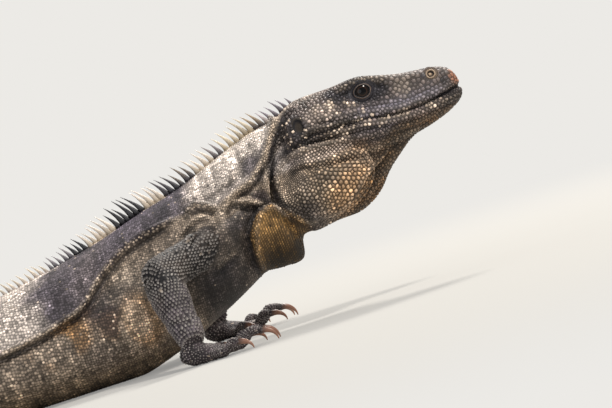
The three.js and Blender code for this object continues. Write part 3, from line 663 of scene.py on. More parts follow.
hideColours = {
    "slate": "#665d5f", "slateDark": "#494349", "violet": "#575064", "pale": "#a4958a", "cream": "#c9b6a2",
    # sooty black: the hide's dark marks, and painted shade on the chest and round the eye
    "umber": "#665648", "earth": "#43382d", "ochre": "#8e6636", "tan": "#97795a", "soot": "#26242a",
    "cheek": "#5b514d", "lip": "#6c6873", "crown": "#897d72", "rose": "#8d5f48", "belly": "#7f6d58",
    # the pale edge colour: pale scale edges, partly painted highlight
    "arm": "#141216", "forearm": "#474046", "paleEdgeAndHighlight": "#e8dfd8", "hand": "#433a3e", "neck": "#988a7b",
    # the palest grey: pale bands on the back, and painted sunlight on the neck
    "jowl": "#8c7a66", "throat": "#5b4123", "flapDark": "#241700", "flapGold": "#b08852", "sunned": "#dacdc1",
    # near-black: painted shade in creases, grooves, hollows and under the arm; also the darker chin tip
    "night": "#1b191d", "tailPale": "#85796c", "tailDark": "#2f2b2c",
}
foldLine = np.array([
    (-190, 22), (-146, 24.5), (-110, 27.5), (-60, 31.5), (-24.9, 36.5), (-13.2, 39.6), (-3.4, 42), (2.9, 47.5),
    (9.1, 53.6), (17.3, 59.2), (27.4, 64.3), (41.3, 68.2), (60, 71), (76, 69), (90, 75)])
# The crest changes colour from group to group: first x of the group, then its colours at root and tip
crestGroups = [
    (115.5, "#4b4448", "#8d858f"), (112, "#8f8276", "#c9bfc4"), (104, "#3b3436", "#b09a7e"),
    (86.5, "#a3947c", "#dccfb8"), (81.5, "#4a4446", "#8e8586"), (70, "#ab9d8a", "#e4d8ca"),
    (61, "#2b282d", "#75685c"), (53, "#1f1d23", "#4c464c"), (40, "#b8a995", "#e6dace"),
    (23.5, "#141318", "#23222b"), (8.5, "#b8a995", "#e4d8cb"), (0.5, "#17161b", "#26252e"),
    (-12.6, "#4a464c", "#9b9599"), (-72, "#b3a79d", "#d8cbb6"), (-98, "#2c292c", "#57504e"),
    (-142, "#998d82", "#c5b9ab"), (-400, "#2c292b", "#4d4746"),
]

# Markings: colour, how much of it, then what holds it in. Five or four numbers are an oval in the side view
# (x, z, half sizes, tip). A name with two numbers fades that value in from the first to the second. A name
# with one number takes off all but that share where the value is nothing.
markLayers = {
    "back": [
        ("sunned", 0.85, ("ragged", -8, -30), ("noise9", 0.5), ("ragged", -112, -84)),
        ("slateDark", 0.95, ("ragged", -22, -10), ("ragged", 14, 2), ("noise9", 0.65)),
        ("slateDark", 0.7, ("ragged", -118, -98), ("ragged", -66, -88), ("noise4", 0.4)),
        ("pale", 0.6, ("ragged", -114, -124), ("ragged", -148, -138), ("noise9", 0.5)),
        ("slateDark", 0.75, ("ragged", -138, -150), ("noise4", 0.5)),
        ("violet", 0.55, ("x", 8, 26), ("x", 70, 52), ("up", 0)),
        # the neck paler toward its top: partly its own colour, partly painted sunlight
        ("sunned", 0.98, ("ragged", 52, 68), ("x", 122, 112), ("up", 0.5), ("noise9", 0.88)),
        ("slateDark", 0.95, ("ragged", 34, 42), ("ragged", 62, 52), ("noise4", 0.6)),
        ("slateDark", 0.7, ("overFold", 0), ("x", 6, 14), ("x", 36, 28)),
        ("slateDark", 0.85, (98.5, 83, 6.5, 7, 60)),
        ("soot", 0.7, ("ragged", 30, 42), ("ragged", 62, 50), ("noise9", 0)),
        ("slateDark", 0.7, ("noise22", 0.5, 0.7), ("x", 66, 80), ("up", 0.8, 0.5)),
    ],
    "flank": [
        ("ochre", 0.75, ("noise9", 0.45, 0.75), (-6, 30, 34, 16)),
        ("neck", 0.9, (25, 32, 11, 24, 10)),
        ("tan", 0.75, (25, 28, 10, 18, 10)),
        ("soot", 0.8, ("noise9", 0.42, 0.7), (8, 34, 12, 14)),
        ("soot", 0.6, ("noise22", 0.5, 0.75)),
        ("tan", 0.85, (23, 28, 9, 16, 10)),
        ("cream", 0.5, (22, 29, 7, 12, 10)),
        ("belly", 0.8, ("z", 18, 6)),
        # painted shade on the chest, between the arm and the flap
        ("soot", 0.8, ("noise4", 0.75), ("x", 46, 60), ("z", 62, 54)),
        ("soot", 0.75, (85, 60, 11, 6, 8)),
        ("slateDark", 0.8, (99, 66, 8, 5, -20)),
        ("cream", 0.75, (74, 69, 15, 6, -10)),
        # painted shade on the chest under the arm
        ("night", 0.7, (67, 27, 15, 15)),
        ("soot", 0.5, (16, 43, 12, 7, 10)),
        ("soot", 0.5, (0, 16, 13, 9), ("noise4", 0.4)),
    ],
    "face": [
        ("crown", 0.8, ("crownHeight", 101, 106), ("x", 150, 178)),
        ("crown", 0.7, ("z", 103, 107.5), ("x", 150, 130)),
        ("lip", 0.75, ("upperLip", 0), ("x", 146, 156), ("x", 206, 198)),
        # a dark mask round the eye: partly its own colour, partly painted shade in the socket and under the
        # brow
        ("soot", 0.92, (164, 101.2, 14, 8.2, -10)),
        ("night", 0.5, (164.5, 101.6, 12, 6.4, -10)),
        ("soot", 0.85, (150, 102.6, 10.5, 4.2, -12), ("noise4", 0.2, 0.45)),
        ("soot", 0.85, (162, 105.8, 12, 4, -4)),
        ("soot", 0.85, (153.5, 102, 5, 4)),
        ("crown", 0.6, (182, 97, 5.5, 5.5)),
        ("slateDark", 0.65, (146, 92.4, 11, 4.2, -3)),
        ("cream", 0.6, (147, 97.6, 13, 4.6, -14), ("noise2", 0.48, 0.62)),
        ("pale", 0.5, (138, 96, 11, 6)),
        ("soot", 0.8, (126, 93, 6.5, 8.5)),
        ("rose", 0.9, (209, 95, 3.6, 5.4)),
        ("soot", 0.7, (203, 93.5, 2.6, 4), ("noise4", 0.35, 0.6)),
        ("soot", 0.75, (194.5, 99.4, 2.2, 4.6)),
    ],
    "jaw": [
        ("slateDark", 0.75, ("lipBand", 0)),
        ("cream", 0.8, ("lowerLip", 0), ("x", 144, 152), ("noise4", 0.35, 0.6)),
        ("soot", 0.75, ("noise4", 0.55, 0.7), ("x", 188, 196)),
        ("slateDark", 0.6, (160, 79, 22, 5, 12)),
        ("jowl", 0.9, (130, 64, 27, 20, 9)),
        ("tan", 0.85, (142, 57, 17, 11, 30)),
        ("tan", 0.5, (146, 74, 14, 5.5, 10)),
        ("pale", 0.7, (114, 66, 9, 16)),
        ("soot", 0.5, (136, 68, 16, 4, -10), ("noise4", 0.3, 0.6)),
        ("pale", 0.85, (132, 79, 20, 4.4, -2)),
        # the chin tip darker
        ("night", 0.9, (206, 85, 10, 6)),
        ("throat", 0.9, ("throat", 0)),
        ("earth", 0.75, ("noise9", 0.45, 0.65), ("throat", 0)),
    ],
    "flap": [
        ("flapGold", 0.85, ("z", 42, 52), ("x", 104, 93)),
        ("flapDark", 0.95, ("z", 50, 36)),
        ("flapGold", 0.85, (110, 50, 9, 5.5, -35)),
    ],
    "arm": [("forearm", 1, ("z", 46, 26), ("out", 0)), ("umber", 0.2, ("noise9", 0.5, 0.75))],
    "leg": [("slate", 0.8, ("legNoise", 0.375))],
    "hand": [("hand", 0.9), ("soot", 0.3, ("noise4", 0.5, 0.7))],
    "tail": [("tailPale", 0.85, ("ring", 0), ("greying", 0))],
}
# the strongest folds
ropes = ("neckFront", "neckRear", "shoulder", "throatBand", "wrinkleB", "wrinkleC", "flank")
# Pale scales are more frequent in these ovals, and less in the others
oftenPale = [(0.3, (124, 91, 8, 11)), (0.14, (156, 86.5, 30, 5))]
seldomPale = [(0.9, (132, 62, 30, 22, 9)), (0.8, (67, 27, 20, 20))]
parts = {"body": 0, "arm": 1, "leg": 2, "hand": 3, "tail": 4}


def linear(code):
    values = [int(code[i:i + 2], 16) / 255 for i in (1, 3, 5)]
    return tuple(v / 12.92 if v <= 0.04045 else ((v + 0.055) / 1.055) ** 2.4 for v in values) + (1.0,)


def tone(code):
    return np.array(linear(code)[:3])


def hide(name):
    return tone(hideColours[name])


def toward(base, colour, amount):
    return base + (colour - base) * np.clip(amount, 0, 1)[:, None]


def crestShade(x):  # root and tip colours of the crest at each x
    index = np.argmax(np.array([g[0] for g in crestGroups]) <= np.asarray(x)[:, None], axis=1)
    return [np.array([tone(g[column]) for g in crestGroups])[index] for column in (1, 2)]


def inside(points, x, z, halfX, halfZ, tip=0):  # 1 at the middle of an oval in the side view, 0 outside it
    u, v = turned(points[:, 0] - x, points[:, 2] - z, tip)
    return 1 - smooth(0.55, 1.1, np.hypot(u / halfX, v / halfZ))


def flapShare(x, z):  # 1 on the flap of the throat, behind and under the jowls
    low = np.interp(x, [84, 87.5, 93, 101, 106, 113, 118], [28, 50, 57.5, 61, 57.5, 50.5, 44])
    return smooth(1.0, -0.6, z - low) * smooth(85.6, 87.2, x) * (1 - smooth(113, 119, x))


def painted(base, layers, values, p):  # each marking laid over the last
    if base.ndim == 1:
        base = np.tile(base, (len(p), 1))
    for name, share, *limits in layers:
        amount = np.full(len(p), float(share))
        for limit in limits:
            if limit[0] not in values:
                amount *= inside(p, *limit)
            elif len(limit) == 3:
                amount *= smooth(*limit[1:], values[limit[0]])
            else:
                amount *= limit[1] + (1 - limit[1]) * values[limit[0]]
        base = toward(base, hide(name), amount)
    return base


def markValues(p):  # everything that the markings go by
    x, y, z = p.T
    values = {"x": x, "z": z, "out": np.abs(y) > 40}
    for name, cell, seed in (("noise9", 9, 1), ("noise4", 4, 2), ("noise22", 22, 3), ("noise2", 2.2, 9)):
        values[name] = latticeNoise(p, cell, seed)
    noise9, noise4, noise22 = values["noise9"], values["noise4"], values["noise22"]
    fold = np.interp(x, *foldLine.T)
    lipBand = smooth(77.5, 82.5, z - 0.03 * (x - 180)) * smooth(140, 156, x)
    away = np.clip(tail["ventX"] - x, 0, None)
    return values | {
        "overBack": smooth(-1.5, 1.5, z - fold),
        "up": np.clip((z - fold) / (sizeAt(torso["stations"], 1, x) - fold), 0, 1),
        "ragged": x + 22 * (noise22 - 0.5) + 12 * (noise9 - 0.5) + 5 * (noise4 - 0.5) + 0.16 * np.abs(y),
        "overFold": bump(z - fold - 6, 4),
        "crownHeight": z - 0.08 * (x - 160),
        "upperLip": bump(z - (90.5 - 0.02 * (x - 150)), 3.2),
        "lowerLip": bump(z - (84.8 - 0.0009 * (x - 178) ** 2), 1.9),
        "lipBand": lipBand,
        "throat": smooth(-2.5, 2, (x - 150) * 0.72 - (z - 57) * 0.7) * (1 - 0.9 * lipBand),
        "legNoise": smooth(0.4, 0.7, noise22),
        "ring": smooth(-0.25, 0.25, np.sin(away / 13.5 + 3.4)),
        "greying": 1 - 0.35 / 0.85 * smooth(250, 600, away),
    }


def markFolds(base, p, part):  # painted highlight and painted shade on each fold
    calm = np.zeros(len(p))
    for name, (line, height, width, depth, creaseWidth, offset, step, _) in folds.items():
        distance, side, share = curveDistance(p[:, [0, 2]], softCurve(line, 30))
        ends = smooth(0, 0.1, share) * smooth(0, 0.1, 1 - share) * (part == parts["body"])
        calm = np.maximum(calm, bump(distance, 2.4) * ends * (name in ropes))
        # the pale crest is partly the fold's own colour, partly painted highlight
        crown = min(0.9, 0.3 * height) * bump(distance, width * 0.75) * ends * (np.abs(p[:, 1]) > 3)
        base = toward(base, hide("cream" if name in ropes else "neck"), crown)
        # painted shade in the crease
        crease = min(0.8, 0.42 * depth) * bump(distance * side - offset, creaseWidth * 1.15) * ends
        base = toward(base, hide("night"), crease)
        # painted shadow under a step
        if step:
            past = distance * side * math.copysign(1, step) - width - 1.4
            paintedShadow = min(0.75, 0.2 * abs(step)) * bump(past, 1.7) * ends * (name != "jowlFront")
            base = toward(base, hide("night"), paintedShadow)
    return base, calm


def markings(p, part):  # colour of the hide at points p, each on its part of the body
    x, y, z = p.T
    values = markValues(p)
    speck = rng.random(len(p))
    up = values["up"]
    # a banded back with painted sunlight on the neck, over the fold of the flank, brown under it
    base = painted(hide("slate"), markLayers["back"], values, p)
    nearCrest = smooth(6.5, 1.5, np.abs(y)) * smooth(0.75, 0.95, up)
    base = toward(base, crestShade(x)[0], 0.8 * nearCrest)
    flank = painted(hide("neck") * 0.58 + hide("umber") * 0.42, markLayers["flank"], values, p)
    base = toward(flank, base, values["overBack"])
    # head and throat
    onHead = smooth(112, 126, x + 0.28 * (z - 80))
    jaw = np.maximum(smooth(88.2, 86.6, z) * smooth(128, 140, x), smooth(84, 81, z))
    face = painted(hide("cheek"), markLayers["face"], values, p)
    face = toward(face, painted(hide("umber"), markLayers["jaw"], values, p), jaw)
    base = toward(base, face, onHead)
    flap = flapShare(x, z - 1.4) * (np.abs(y) < 30)
    # painted highlight along the flap's rear edge and its upper rim
    edge = np.maximum(bump(x - 88.4, 1.5), flap * (1 - flapShare(x, z + 1.2)))
    dewlap = painted(hide("flapGold") * 0.5, markLayers["flap"], values, p)
    dewlap = toward(dewlap, hide("flapGold") * 1.25, 0.7 * edge * smooth(30, 40, z))
    base = toward(base, dewlap, flap)
    base, calm = markFolds(base, p, part)
    # limbs and tail
    limb = painted(hide("arm"), markLayers["arm"], values, p)
    for name, under in (("arm", limb), ("leg", limb), ("hand", limb), ("tail", hide("tailDark"))):
        own = painted(under, markLayers[name] if name != "arm" else [], values, p)
        base = np.where((part == parts[name])[:, None], own, base)
    # every scale has its own shade, and a few are cream or black
    often = 0.016 - 0.012 * smooth(150, 170, x) + sum(share * inside(p, *oval) for share, oval in oftenPale)
    often = often * (1 - flap) * math.prod(1 - share * inside(p, *oval) for share, oval in seldomPale)
    pale = (speck > 1 - often) & (part != parts["tail"])
    base = np.where(pale[:, None], toward(base, hide("cream"), 0.4 + 0.4 * (often > 0.1)), base)
    base = np.where((speck < 0.07)[:, None], base * 0.5, base)
    trunk = (part == parts["body"]) * (1 - onHead)
    streak = latticeNoise(p * [1, 0.14, 0.14], 2.4, 7)
    uneven = (0.34 + 0.04 * trunk) * rng.standard_normal(len(p)) + 0.9 * (latticeNoise(p, 2.6, 5) - 0.5)
    uneven += 1.3 * (streak - 0.5) * trunk
    uneven *= (1 - 0.55 * smooth(166, 182, x) * smooth(86, 91, z)) * (1 - 0.55 * calm)
    return base * np.exp(uneven)[:, None]


# Where the scales stand: roots, lie and size, no two closer than their own width

def nearestTo(places):
    tree = KDTree(len(places))
    for i, place in enumerate(places):
        tree.insert(place, i)
    tree.balance()
    return tree


skinPoints, skinNormals = readPoints(skin.data), readVectors(skin.data.vertex_normals, "vector")
skinTree = BVHTree.FromPolygons(skinPoints.tolist(), [tuple(p.vertices) for p in skin.data.polygons])
nearVertex = nearestTo(skinPoints)
farOut = 60.0  # where level rays toward the head start
cellSize = 3.0
taken = {}  # cell: the scales in it, each (x, y, z, spacing)
lists = {}  # piece: its scales, each (place, lie, length, width, part, chart u, chart v)
# Charts hold a whole stretch of the animal: first x, length
bodyChart, headChart, foldChart, flapChart = (121, 306), (84, 128), (-200, 300), (84, 40)


def cellOf(place):
    return tuple(int(c // cellSize) for c in place)


def crowded(place, spacing):
    for cell in itertools.product(*((c - 1, c, c + 1) for c in cellOf(place))):
        for x, y, z, other in taken.get(cell, ()):
            reach = 0.5 * (spacing + other)
            if (place[0] - x) ** 2 + (place[1] - y) ** 2 + (place[2] - z) ** 2 < reach * reach:
                return True
    return False


def keptClear(x, y, z):  # the lids, the nostrils and the eardrums have forms of their own
    if x < 118:
        return False
    if eyeShare(x, z) < lids["rows"][-2][0]:
        return True
    if math.hypot(x - nostril["centre"][0], z - nostril["centre"][1]) < 3.9 and abs(y) > 3:
        return True
    return math.hypot((x - ear["centre"][0]) / ear["half"][0], (z - ear["centre"][1]) / ear["half"][1]) < 1.0


def plant(piece, place, lie, length, width, part, chart, closeness=0.62):
    spacing = closeness * min(length, width)
    if place[2] < 0.4 or crowded(place, spacing) or keptClear(*place):
        return
    taken.setdefault(cellOf(place), []).append((*place, spacing))
    lists.setdefault(piece, []).append((*place, *lie, length, width, parts[part], *chart))


def cast(origin, direction, expected=None, slack=1.25, extra=3.0):
    place, _, _, distance = skinTree.ray_cast(Vector(origin), Vector(direction))
    if place is None or (expected is not None and distance > expected * slack + extra):
        return None
    return place


def sideHits(x, z):  # where level rays from the two sides meet the skin
    for side in bothSides:
        hit = cast((x, side * farOut, z), (0, -side, 0))
        if hit:
            yield side, hit


def alongChart(x, chart):
    return (x - chart[0]) / chart[1]


# Trunk and neck: rings of small scales from the nape to the vent

torsoScales = {
    "pitchX": [-184, -60, 20, 70, 121],
    "pitch": [1.7, 1.7, 1.25, 1.15, 1.05],
    "shape": 1.08,  # width for its pitch
    "overlap": 0.92,
    "pieces": [(12, "scalesForeBody"), (-62, "scalesMidBody"), (-math.inf, "scalesHindBody")],  # from its x on
}


def torsoRows():
    x, row = 121.0, 0
    angles = np.linspace(0.5 * np.pi, -0.5 * np.pi, 70)
    while x > torsoScales["pitchX"][0]:
        pitch = float(np.interp(x, torsoScales["pitchX"], torsoScales["pitch"]))
        piece = next(name for end, name in torsoScales["pieces"] if x > end)
        top, bottom, halfWidth, widest = sizesAt(torso["stations"], x)
        y, z = outline(angles, halfWidth, top - widest, widest - bottom, torso["power"])
        arc = np.concatenate([[0], np.cumsum(np.hypot(np.diff(y), np.diff(z)))])
        width = pitch * torsoScales["shape"]
        at = (0.5 if row % 2 else 0.0) * width
        while at < arc[-1]:
            spot = at + width * 0.5 * (rng.random() - 0.5) if at > 0 else 0
            dy, dz = float(np.interp(spot, arc, y)), float(np.interp(spot, arc, z))
            for side in bothSides if at > 0 else (1,):
                start = (x + pitch * 0.3 * (rng.random() - 0.5), 0, widest)
                hit = cast(start, (0, side * dy, dz), math.hypot(dy, dz), 1.12, 2.6)
                if hit:
                    chart = ((bodyChart[0] - x) / bodyChart[1], 0.5 + 0.48 * side * at / arc[-1])
                    plant(piece, hit, (-1, 0, 0), pitch, width, "body", chart)
            at += width
        x -= pitch * torsoScales["overlap"]
        row += 1


# Limbs: rings of keeled scales, each row turned a little against the last

limbScales = {
    "pitch": {"upperArm": 2.25, "forearm": 2.3, "thigh": 2.1, "shank": 2.0},
    "end": {"upperArm": 0.75, "forearm": 0.6, "thigh": 0.75, "shank": 0.6},  # how far past the joint, in radii
    "turn": 0.37,
    "flapX": 86,  # ahead of this is the flap of the throat
    "arms": ("scalesArms", "arm"),
    "legs": ("scalesLegs", "leg"),
}


def limbRows(number, limb):
    a, b, shape = limb["a"], limb["b"], limb["shape"]
    pitch = limbScales["pitch"][limb["name"]]
    piece, part = limbScales[limb["kind"]]
    length = np.linalg.norm(np.subtract(b, a))
    axis = unit(np.subtract(b, a))
    d, row = -shape[0][2] * 0.7, 0
    while d < length + shape[-1][2] * limbScales["end"][limb["name"]]:
        middle, side, up, wide, deep = limbSection(a, b, shape, d)
        around = math.pi * (3 * (wide + deep) - math.sqrt((3 * wide + deep) * (wide + 3 * deep)))
        count = max(6, int(around / (pitch * 0.86)))
        for k in range(count):
            turn = 2 * math.pi * (k + (limbScales["turn"] * row) % 1 + 0.16 * (rng.random() - 0.5)) / count
            ray = side * math.cos(turn) * wide + up * math.sin(turn) * deep
            hit = cast(middle, ray, float(np.linalg.norm(ray)), 1.18, 2.2)
            if hit and hit[0] < limbScales["flapX"]:
                u = (number % 4 + 0.04 + 0.92 * (d + 12) / (length + 24)) / 4
                v = (number // 4 + 0.04 + 0.92 * k / count) / 2
                plant(piece, hit, axis, pitch * 1.25, pitch * 1.08, part, (u, v))
        d += pitch * 0.8
        row += 1


digitScales = {"around": 12, "step": 1.15, "length": 1.65, "width": 1.4}


def digitRows(number, digit):
    line, radius, around = digit["line"], digit["radius"], digitScales["around"]
    axis, side, up = lineAxes(line)
    length = runLength(line)
    d, row = 1.0, 0
    while d < length[-1] + radius * 0.6:
        k = int(np.clip(np.searchsorted(length, d) - 1, 0, len(line) - 1))
        middle = line[k] + axis[k] * (d - length[k])
        for j in range(around):
            a = 2 * math.pi * (j + 0.5 * (row % 2)) / around
            hit = cast(middle, side[k] * math.cos(a) + up[k] * math.sin(a), radius, 1.3, 1.0)
            if hit:
                u = (number % 5 + 0.05 + 0.9 * min(1, d / (length[-1] + 2))) / 5
                v = (number // 5 + 0.05 + 0.9 * j / around) / 4
                size = digitScales["length"], digitScales["width"]
                plant("scalesHandsFeet", hit, axis[k], *size, "hand", (u, v))
        d += digitScales["step"]
        row += 1


# Tail: every third ring is a whorl of long spiny scales

# piece, share of the space, width
tailScales = {"whorl": ("tailWhorls", 1.5, 3.5), "plain": ("scalesTail", 0.7, 2.1)}


def tailRows():
    s, row = 4.0, 0
    root, tip = tail["whorls"]
    while s < tail["length"] - 2:
        share = s / tail["length"]
        piece, part, wide = tailScales["plain" if row % 3 else "whorl"]
        pitch = (root + (tip - root) * share) / 3 * part
        middle, side, halfWidth, above, below = tailSection(s)
        wide *= 1 - 0.66 * share
        count = max(8, int(math.pi * (halfWidth + (above + below) / 2) / wide))
        for k in range(count):
            a = 2 * math.pi * (k + 0.5 * (row % 2)) / count + math.pi / 2
            ray = side * math.cos(a) * halfWidth + upward * math.sin(a) * (above if math.sin(a) > 0 else below)
            hit = cast(middle, ray, float(np.linalg.norm(ray)), 1.3, 1.5)
            if hit:
                chart = (0.01 + 0.98 * share, 0.01 + 0.98 * k / count)
                lie = headingAxes(float(tailHeading(s)))[0]
                plant(piece, hit, lie, pitch * 1.25, wide * 1.02, "tail", chart, 0.4)
        s += pitch
        row += 1


# Head: rows along the lips, rings on the jowls, upright columns on the flap

# height of each row over the mouth line, length and width of a scale
lipRows = [(1.5, 3.4, 1.9), (3.3, 2.9, 1.6), (4.9, 2.6, 1.5),
           (-1.4, 3.0, 1.8), (-3.1, 2.6, 1.6), (-4.7, 2.3, 1.5)]
jowlRows = {"pitch": 1.42, "drift": 0.5, "coarse": -0.8}  # coarse is the angle where the scales are largest
flapRows = {"columns": 25, "first": 88.2, "top": 62.5, "gap": 1.32, "pitch": 1.2, "slant": 0.14, "width": 0.66}


def lipScales():
    mouth = softCurve(folds["mouth"][0], 120)
    s = runLength(mouth)
    for offset, length, width in lipRows:
        d = 2.0 + 0.4 * abs(offset)
        while d < s[-1] - 5:
            x, z = np.interp(d, s, mouth[:, 0]), np.interp(d, s, mouth[:, 1]) + offset
            for side, hit in sideHits(x, z):
                chart = (alongChart(x, headChart), 0.5 + side * (0.24 + 0.005 * offset))
                plant("platesHead", hit, (-1, 0, 0), length, width, "body", chart, 0.85)
            d += length * (0.86 if d < 30 else 0.8)


def jowlScales():
    jowl, pitch, drift, coarse = head["jowl"], *jowlRows.values()
    shrink, row = 0.0, 0
    while shrink < jowl["half"][2] - 2.5:
        half = np.array([jowl["half"][0] - 1.2 - shrink * 1.25, jowl["half"][2] - 1.0 - shrink])
        count = int(math.pi * (half[0] + half[1]) / (pitch * 1.12))
        for k in range(count):
            t = 2 * math.pi * (k + 0.5 * (row % 2)) / count
            a = t + drift * math.sin(t - coarse)
            size = max(1.0, pitch * (1 + drift * math.cos(t - coarse)))
            dx, dz = turned(half[0] * math.cos(a), half[1] * math.sin(a), -jowl["tip"])
            x = jowl["centre"][0] + dx - shrink * drift * math.cos(coarse)
            z = jowl["centre"][2] + dz - shrink * drift * math.sin(coarse)
            for side, hit in sideHits(x, z):
                if side * hit[1] > 8:
                    chart = (alongChart(x, headChart), 0.5 + side * (0.06 + 0.4 * (z - 40) / 50))
                    plant("platesJowls", hit, (-1, 0, 0), size, size, "body", chart, 0.8)
        shrink += pitch
        row += 1


def flapScales():
    gap, pitch = flapRows["gap"], flapRows["pitch"]
    for column in range(flapRows["columns"]):
        for n in range(30):
            z = flapRows["top"] - n * pitch - 0.5 * pitch * (column % 2)
            x = flapRows["first"] + column * gap + flapRows["slant"] * (62 - z) * (1 - column / 17)
            if flapShare(x, z) < 0.8:
                continue
            for side, hit in sideHits(x, z):
                if abs(hit[1]) < 30:
                    chart = (alongChart(x, flapChart), 0.5 + side * (0.02 + 0.45 * (z - 26) / 40))
                    size = pitch * 1.15, gap * flapRows["width"]
                    plant("scalesFlap", hit, (0, 0, -1), *size, "body", chart, 1.25)


# Ground that no row reaches is filled at random places, kept apart

fill = {"tries": 250000, "bodyWeight": 0.45, "handWeight": 2.5}


def onHandOrFoot(y, z):
    return z < 24 and abs(y) > 60


def bareSpacing(x, y, z):  # how far apart these scales stand
    if onHandOrFoot(y, z):
        return 1.15
    if x <= 112:
        return 1.15 if x > 80 else 1.5
    near = math.hypot((x - 163) / 11, (z - 101) / 7.5)
    if near < 1:  # small ones round the eye
        return 0.95 + 0.45 * near
    if x > 168 and z > 92:
        return 2.1 if z > 98 else 1.8
    if x > 150:
        return 1.5 if z > 90 else 1.3
    return 1.45 if z > 88 else 1.3


def aroundChart(y, z):
    return 0.5 + math.atan2(y, z) / (2 * math.pi) * 0.98


def fillScale(x, y, z):
    spacing = bareSpacing(x, y, z)
    place, size = (x, y, z), spacing * 1.12
    if onHandOrFoot(y, z):
        chart = (0.8 + 0.19 * alongChart(x, foldChart), (y + 150) / 300)
        plant("scalesHandsFeet", place, (1, 0, 0), spacing * 1.26, spacing * 1.26, "hand", chart, 0.76)
    elif x > headChart[0]:
        piece = "platesHead" if x > 128 or z > 84 else "scalesThroat"
        chart = (alongChart(x, headChart), aroundChart(y, z - 80))
        plant(piece, place, (-1, 0, 0), size, size, "body", chart, 0.86)
    else:
        part = "body" if abs(y) <= 45 else "arm" if x > 26 else "leg" if x < -100 else "body"
        chart = (alongChart(x, foldChart), aroundChart(y, z - 30))
        plant("scalesFolds", place, (-1, 0, 0), size, size, part, chart, 0.86)


def fillBare():
    mesh = skin.data
    mesh.calc_loop_triangles()
    corners = np.empty(len(mesh.loop_triangles) * 3, np.int32)
    mesh.loop_triangles.foreach_get("vertices", corners)
    tri = skinPoints[corners.reshape(-1, 3)]
    area = np.linalg.norm(np.cross(tri[:, 1] - tri[:, 0], tri[:, 2] - tri[:, 0]), axis=1) / 2
    x, y, z = tri.mean(1).T
    out = np.abs(y) > 60
    weight = np.where(((x > tail["ventX"]) | out) & (z > 0.5), area, 0)
    weight *= np.where(x > 80, 1.0, fill["bodyWeight"])
    weight *= np.where(out & (z < 26), fill["handWeight"], 1.0)
    t = tri[rng.choice(len(tri), fill["tries"], p=weight / weight.sum())]
    a, b = rng.random(len(t)), rng.random(len(t))
    flip = a + b > 1
    a, b = np.where(flip, 1 - a, a), np.where(flip, 1 - b, b)
    for place in t[:, 0] + (t[:, 1] - t[:, 0]) * a[:, None] + (t[:, 2] - t[:, 0]) * b[:, None]:
        fillScale(*place)


lids = {
    # rings from the opening outward: share of the opening, height over the eyeball or the skin, colour
    # the near-black rows are painted shade in the grooves between the folds and at the opening
    "rows": [(0.92, -0.3, "night"), (0.97, 0.3, "night"), (1.03, 0.5, "soot"), (1.1, 0.5, "umber"),
             (1.17, 0.35, "soot"), (1.25, 0.05, "night"), (1.36, 0.4, "soot"), (1.46, 0.42, "soot"),
             (1.56, 0.05, "night"), (1.7, 0.3, "soot"), (1.8, 0.2, "soot"), (2.1, -1.0, "night")],
    "steps": 72,
}
lipScales()
jowlScales()
flapScales()
torsoRows()
for number, limb in enumerate(limbParts):
    limbRows(number, limb)
for number, digit in enumerate(digitParts):
    digitRows(number, digit)
tailRows()
fillBare()


def coatOf(rows):
    table = np.array(rows)
    places, lie, part = table[:, :3], table[:, 3:6], table[:, 8]
    normals = unit(np.array([skinNormals[[i for _, i, _ in nearVertex.find_n(p, 4)]].sum(0) for p in places]))
    lie = unit(lie - normals * np.sum(lie * normals, axis=1, keepdims=True))
    return {"place": places, "normal": normals, "lie": lie, "size": table[:, 6:8], "uv": table[:, 9:11],
            "hide": markings(places, part)}


coats = {name: coatOf(rows) for name, rows in lists.items()}
allPlaces = np.concatenate([c["place"] for c in coats.values()])
print("scales:", {name: len(c["place"]) for name, c in coats.items()})


# Materials

def nodeMaker(tree):  # adds a node of one kind, with its inputs by name or number and its settings
    tree.nodes.clear()

    def add(kind, inputs={}, **settings):
        node = tree.nodes.new(kind)
        for name, value in settings.items():
            setattr(node, name, value)
        for name, value in inputs.items():
            if isinstance(value, bpy.types.NodeSocket):
                tree.links.new(value, node.inputs[name])
            else:
                node.inputs[name].default_value = value
        return node
    return add


def newMaterial(name):
    material = bpy.data.materials.new(name)
    material.use_nodes = True
    return material, nodeMaker(material.node_tree)


def stored(add, name, output="Fac"):
    return add("ShaderNodeAttribute", attribute_name=name, attribute_type="GEOMETRY").outputs[output]


def objectPlace(add):
    return add("ShaderNodeTexCoord").outputs["Object"]


def noise(add, scale, detail):
    texture = add("ShaderNodeTexNoise", {"Vector": objectPlace(add), "Scale": scale, "Detail": detail})
    return texture.outputs["Fac"]


def spread(add, value, low, high, start=0.0, end=1.0):
    ends = {"From Min": start, "From Max": end, "To Min": low, "To Max": high}
    return add("ShaderNodeMapRange", {"Value": value} | ends).outputs["Result"]


def power(add, value, exponent):
    return add("ShaderNodeMath", {0: value, 1: exponent}, operation="POWER").outputs[0]


def product(add, a, b):
    return add("ShaderNodeMath", {0: a, 1: b}, operation="MULTIPLY").outputs[0]


def scaled(add, vector, amount):
    return add("ShaderNodeVectorMath", {0: vector, "Scale": amount}, operation="SCALE").outputs[0]


def surface(add, colour, **looks):
    inputs = {name.replace("_", " "): value for name, value in looks.items()}
    shader = add("ShaderNodeBsdfPrincipled", {"Base Color": colour} | inputs)
    add("ShaderNodeOutputMaterial", {"Surface": shader.outputs[0]})


def bumps(add, height, strength, distance):
    inputs = {"Height": height, "Strength": strength, "Distance": distance}
    return add("ShaderNodeBump", inputs).outputs["Normal"]


